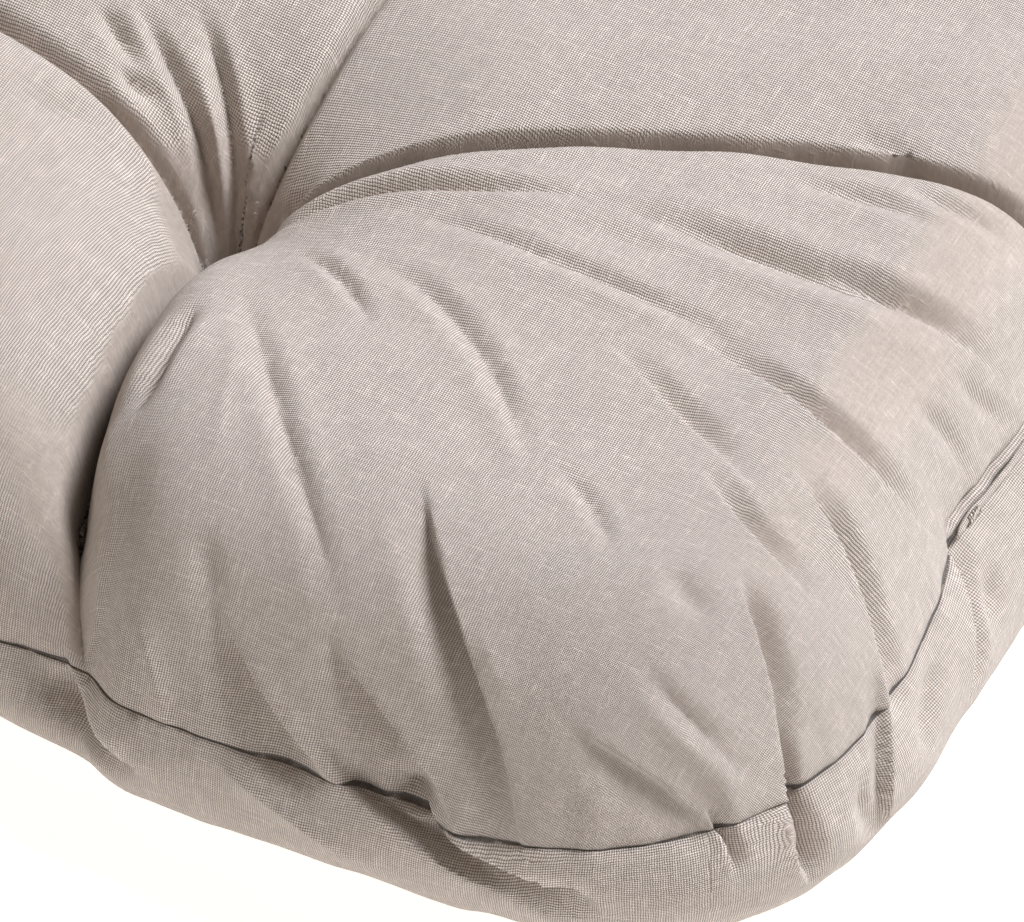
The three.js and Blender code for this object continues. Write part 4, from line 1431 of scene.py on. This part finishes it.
    def build(self) -> bpy.types.Object:
        """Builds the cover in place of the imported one.

        Returns:
            The object.
        """
        relief = CanvasRelief(self.form)
        places, points, heights, triangles = CoverNet(self.form, relief).cut()
        normals = self.normals(points, triangles)
        _, slides = relief.offsets(places)
        points = points + normals * heights[:, None] + self.slid(places, normals, slides)
        down = (1 - places[:, 2]) / 2 * self.form.border_width
        _, inside, _, _ = self.form.seam_near(*self.form.panel(places[:, 0], places[:, 1]))
        away = np.where(places[:, 2] >= 1, inside, down)
        # Painted shade: a thin dark line along each seam, where its joint lies in shadow.
        seam = bell(away / self.seam_shade_width)
        cloth = self.flat(places, triangles, points)
        made = piece("cover", points, triangles, cloth, seam)
        gathered = self.gathered(cloth, triangles, points)
        made.data.attributes.new("gathered", "FLOAT", "POINT").data.foreach_set("value", gathered)
        made.data.materials.append(self.canvas.material())
        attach(made, "root")
        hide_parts("cushion")
        return made


@dataclass
class ClosingSeam:
    """The folded edge that closes the opening in the right end's seam, with its bar tack, in mm."""

    form: CushionForm
    canvas: Canvas
    tack_canvas: Canvas
    start: float = -123
    end: float = 127
    half_wide: float = 0.95
    half_high: float = 0.7
    raised: float = 1
    inward: float = 0.9
    taper: float = 3
    # Hand closing leaves the edge wavy: a slow swing, a quicker ripple and a rise and fall.
    wave: float = 0.35
    wave_long: float = 5.2
    ripple: float = 0.6
    ripple_long: float = 2.3
    ripple_beat: float = 11
    lift_longer: float = 1.3
    step: float = 0.8
    sides: int = 12
    tack_at: float = -117
    tack_long: float = 4.5
    tack_wide: float = 1.4
    tack_stitches: int = 9
    tack_steps: int = 4
    # The stitches lie a little proud of the edge and bend down over both its sides.
    tack_proud: float = 0.6
    tack_bend: float = 0.35
    thread: float = 0.24
    thread_sides: int = 6
    # How far in from the seam and along it its directions are taken.
    inner: float = 3
    ahead: float = 1

    def seam(self, y: Array) -> tuple[Array, Array, Array]:
        """The right end's top seam.

        Args:
            y: Places across the bench, in mm.

        Returns:
            Its points, the directions across it onto the top panel, and those straight out of it.
        """
        form = self.form
        v = y / form.half_y
        ones = np.ones_like(y)
        at = form.points(np.stack([ones, v, ones], axis=1))
        inner = form.points(np.stack([ones - self.inner / form.half_x, v, ones], axis=1))
        ahead = form.points(np.stack([ones, v + self.ahead / form.half_y, ones], axis=1)) - at
        across = inner - at
        across /= np.linalg.norm(across, axis=1)[:, None]
        out = np.cross(ahead, across)
        return at, across, out / np.linalg.norm(out, axis=1)[:, None]

    def edge(self) -> bpy.types.Object:
        """The folded canvas edge, a soft flat roll that waves a little along the seam.

        Returns:
            The object.
        """
        count = round((self.end - self.start) / self.step)
        y = np.linspace(self.start, self.end, count + 1)
        at, across, out = self.seam(y)
        swing = np.sin(y / self.wave_long)
        swing += self.ripple * np.sin(y / self.ripple_long + 1) * np.sin(y / self.ripple_beat)
        lift = np.sin(y / self.wave_long / self.lift_longer + 2) * self.wave
        taper = np.clip(np.minimum(y - self.start, self.end - y) / self.taper, 0, 1) ** 0.5
        turn = np.arange(self.sides) * 2 * math.pi / self.sides
        wide = np.cos(turn)[None, :] * (self.half_wide * taper)[:, None]
        high = np.sin(turn)[None, :] * (self.half_high * taper)[:, None]
        wide = wide + (self.inward + self.wave * swing * taper)[:, None]
        high = high + (self.raised + lift * taper)[:, None]
        points = at[:, None] + across[:, None] * wide[..., None] + out[:, None] * high[..., None]
        number = np.arange(points.shape[0] * self.sides).reshape(-1, self.sides)
        following = np.roll(number, -1, axis=1)
        corners = (number[:-1], number[1:], following[1:], following[:-1])
        faces = np.stack(corners, axis=-1).reshape(-1, 4)
        ring = np.append(turn, 2 * math.pi) * self.half_wide
        rows, columns = np.divmod(np.arange(len(faces)), self.sides)
        cloth = np.stack(
            [
                np.stack([y[rows + i], ring[columns + j]], axis=1)
                for i, j in ((0, 0), (1, 0), (1, 1), (0, 1))
            ],
            axis=1,
        )
        return self.finished("closing_edge", points.reshape(-1, 3), faces, cloth, self.canvas)

    def tack(self) -> bpy.types.Object:
        """The bar tack: a close zigzag of cotton thread over the front end of the folded edge.

        Returns:
            The object.
        """
        turns = np.arange(self.tack_stitches * self.tack_steps + 1)
        zigzag = np.abs((turns / self.tack_steps) % 2 - 1) * 2 - 1
        y = self.tack_at + self.tack_long * turns / turns[-1]
        at, across, out = self.seam(y)
        high = self.raised + self.half_high + self.thread * self.tack_proud - self.tack_bend * zigzag**2
        middle = at + across * (self.inward + self.tack_wide * zigzag)[:, None] + out * high[:, None]
        ahead = np.gradient(middle, axis=0)
        ahead /= np.linalg.norm(ahead, axis=1)[:, None]
        beside = np.cross(ahead, out)
        beside /= np.linalg.norm(beside, axis=1)[:, None]
        above = np.cross(beside, ahead)
        turn = np.arange(self.thread_sides) * 2 * math.pi / self.thread_sides
        points = middle[:, None] + self.thread * (
            beside[:, None] * np.cos(turn)[:, None] + above[:, None] * np.sin(turn)[:, None]
        )
        number = np.arange(points.shape[0] * self.thread_sides).reshape(-1, self.thread_sides)
        following = np.roll(number, -1, axis=1)
        corners = (number[:-1], following[:-1], following[1:], number[1:])
        faces = np.stack(corners, axis=-1).reshape(-1, 4)
        cloth = points.reshape(-1, 3)[faces][:, :, :2]
        return self.finished("bar_tack", points.reshape(-1, 3), faces, cloth, self.tack_canvas)

    @staticmethod
    def finished(
        name: str, points: Array, faces: Array, cloth: Array, canvas: Canvas
    ) -> bpy.types.Object:
        """Makes a piece of the closing seam in its finish, riding on the cushion.

        Args:
            name: The piece's name.
            points: Its points in mm, one row (x, y, z) each.
            faces: The numbers of each face's corners.
            cloth: Where each face corner lies on the flat cloth, in mm.
            canvas: Its finish.

        Returns:
            The object.
        """
        made = piece(name, points, faces, cloth, np.zeros(len(points)))
        made.data.materials.append(canvas.material())
        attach(made, "root")
        return made

    def build(self) -> list[bpy.types.Object]:
        """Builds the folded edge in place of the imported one, and the bar tack.

        Returns:
            Both objects.
        """
        edge = self.edge()
        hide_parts("closing_lip")
        return [edge, self.tack()]


@dataclass
class Studio:
    """A product studio: a white sweep, one broad soft light and a long lens, sizes in metres."""

    focus: Vector = field(default_factory=lambda: Vector((0.395, -0.12, 0.048)))
    focus_pixel: Pair = (228, 268)
    picture: Pair = (1024, 922)
    pixels_per_metre: float = 4300
    azimuth: float = math.radians(27)
    elevation: float = math.radians(49)
    distance: float = 4.5
    sensor: float = 36
    floor_size: float = 12
    view_depth: float = 50
    # The sweep is matt, and glows a little, so that it shows as white as the photo's ground.
    floor_colour: str = "#CFCFCF"
    floor_roughness: float = 0.9
    glow_colour: str = "#FFFAF3"
    floor_glow: float = 0.9
    sky_colour: str = "#FFF3E8"
    sky: float = 0.26
    key_colour: str = "#F5F8FF"
    key_power: float = 138
    key_size: float = 1.2
    key_azimuth: float = math.radians(42)
    key_elevation: float = math.radians(56)
    key_distance: float = 3

    def floor(self) -> bpy.types.Object:
        """A level white sweep under the cushion.

        Returns:
            The object.
        """
        half = self.floor_size / 2
        mesh = bpy.data.meshes.new("floor")
        corners = [(-half, -half, 0), (half, -half, 0), (half, half, 0), (-half, half, 0)]
        mesh.from_pydata(corners, [], [(0, 1, 2, 3)])
        material = bpy.data.materials.new("white_sweep")
        material.use_nodes = True
        shader = material.node_tree.nodes["Principled BSDF"]
        shader.inputs["Base Color"].default_value = linear(self.floor_colour)
        shader.inputs["Roughness"].default_value = self.floor_roughness
        shader.inputs["Specular IOR Level"].default_value = 0
        shader.inputs["Emission Color"].default_value = linear(self.glow_colour)
        shader.inputs["Emission Strength"].default_value = self.floor_glow
        mesh.materials.append(material)
        made = bpy.data.objects.new("floor", mesh)
        bpy.context.scene.collection.objects.link(made)
        return made

    def lights(self) -> None:
        """A dim, even, warm sky and one big soft key from the back right."""
        scene = bpy.context.scene
        scene.world = bpy.data.worlds.new("studio")
        scene.world.use_nodes = True
        background = scene.world.node_tree.nodes["Background"]
        background.inputs[0].default_value = linear(self.sky_colour)
        background.inputs[1].default_value = self.sky
        light = bpy.data.lights.new("key", "AREA")
        light.energy = self.key_power
        light.color = linear(self.key_colour)[:3]
        light.size = self.key_size
        made = bpy.data.objects.new("key", light)
        level = math.cos(self.key_elevation)
        towards = Vector(
            (
                level * math.cos(self.key_azimuth),
                level * math.sin(self.key_azimuth),
                math.sin(self.key_elevation),
            )
        )
        made.location = self.focus + towards * self.key_distance
        made.rotation_euler = towards.to_track_quat("Z", "Y").to_euler()
        scene.collection.objects.link(made)

    def camera(self) -> bpy.types.Object:
        """A long lens, held level, with the focus on its pixel of the photo.

        Returns:
            The object.
        """
        turn, rise = self.azimuth, self.elevation
        right = Vector((math.cos(turn), math.sin(turn), 0))
        forward = Vector(
            (-math.sin(turn) * math.cos(rise), math.cos(turn) * math.cos(rise), -math.sin(rise))
        )
        up = right.cross(forward)
        width, height = self.picture
        centre = self.focus + right * (width / 2 - self.focus_pixel[0]) / self.pixels_per_metre
        centre -= up * (height / 2 - self.focus_pixel[1]) / self.pixels_per_metre
        lens = bpy.data.cameras.new("camera")
        lens.sensor_width = self.sensor
        lens.lens = self.distance * self.sensor * self.pixels_per_metre / width
        lens.clip_end = self.view_depth
        made = bpy.data.objects.new("camera", lens)
        made.location = centre - forward * self.distance
        made.rotation_euler = (-forward).to_track_quat("Z", "Y").to_euler()
        bpy.context.scene.collection.objects.link(made)
        bpy.context.scene.camera = made
        return made

    def build(self) -> None:
        """Sets the studio up."""
        self.floor()
        self.lights()
        self.camera()
        bpy.context.scene.view_settings.view_transform = "Standard"


def main() -> None:
    """Builds the cushion and the studio, and notes each piece's face count."""
    logging.basicConfig(level=logging.INFO, format="%(name)s: %(message)s")
    form = CushionForm()
    pieces = [Cover(form, Canvas("canvas")).build()]
    thread = Canvas("cotton_thread", colour="#E6DED6", speckle=0.04, streak=0.04)
    pieces += ClosingSeam(form, Canvas("canvas_edge"), thread).build()
    for made in pieces:
        LOG.info("%s: %d faces", made.name, len(made.data.polygons))
    Studio().build()
    bpy.context.view_layer.update()


if __name__ == "__main__":
    main()
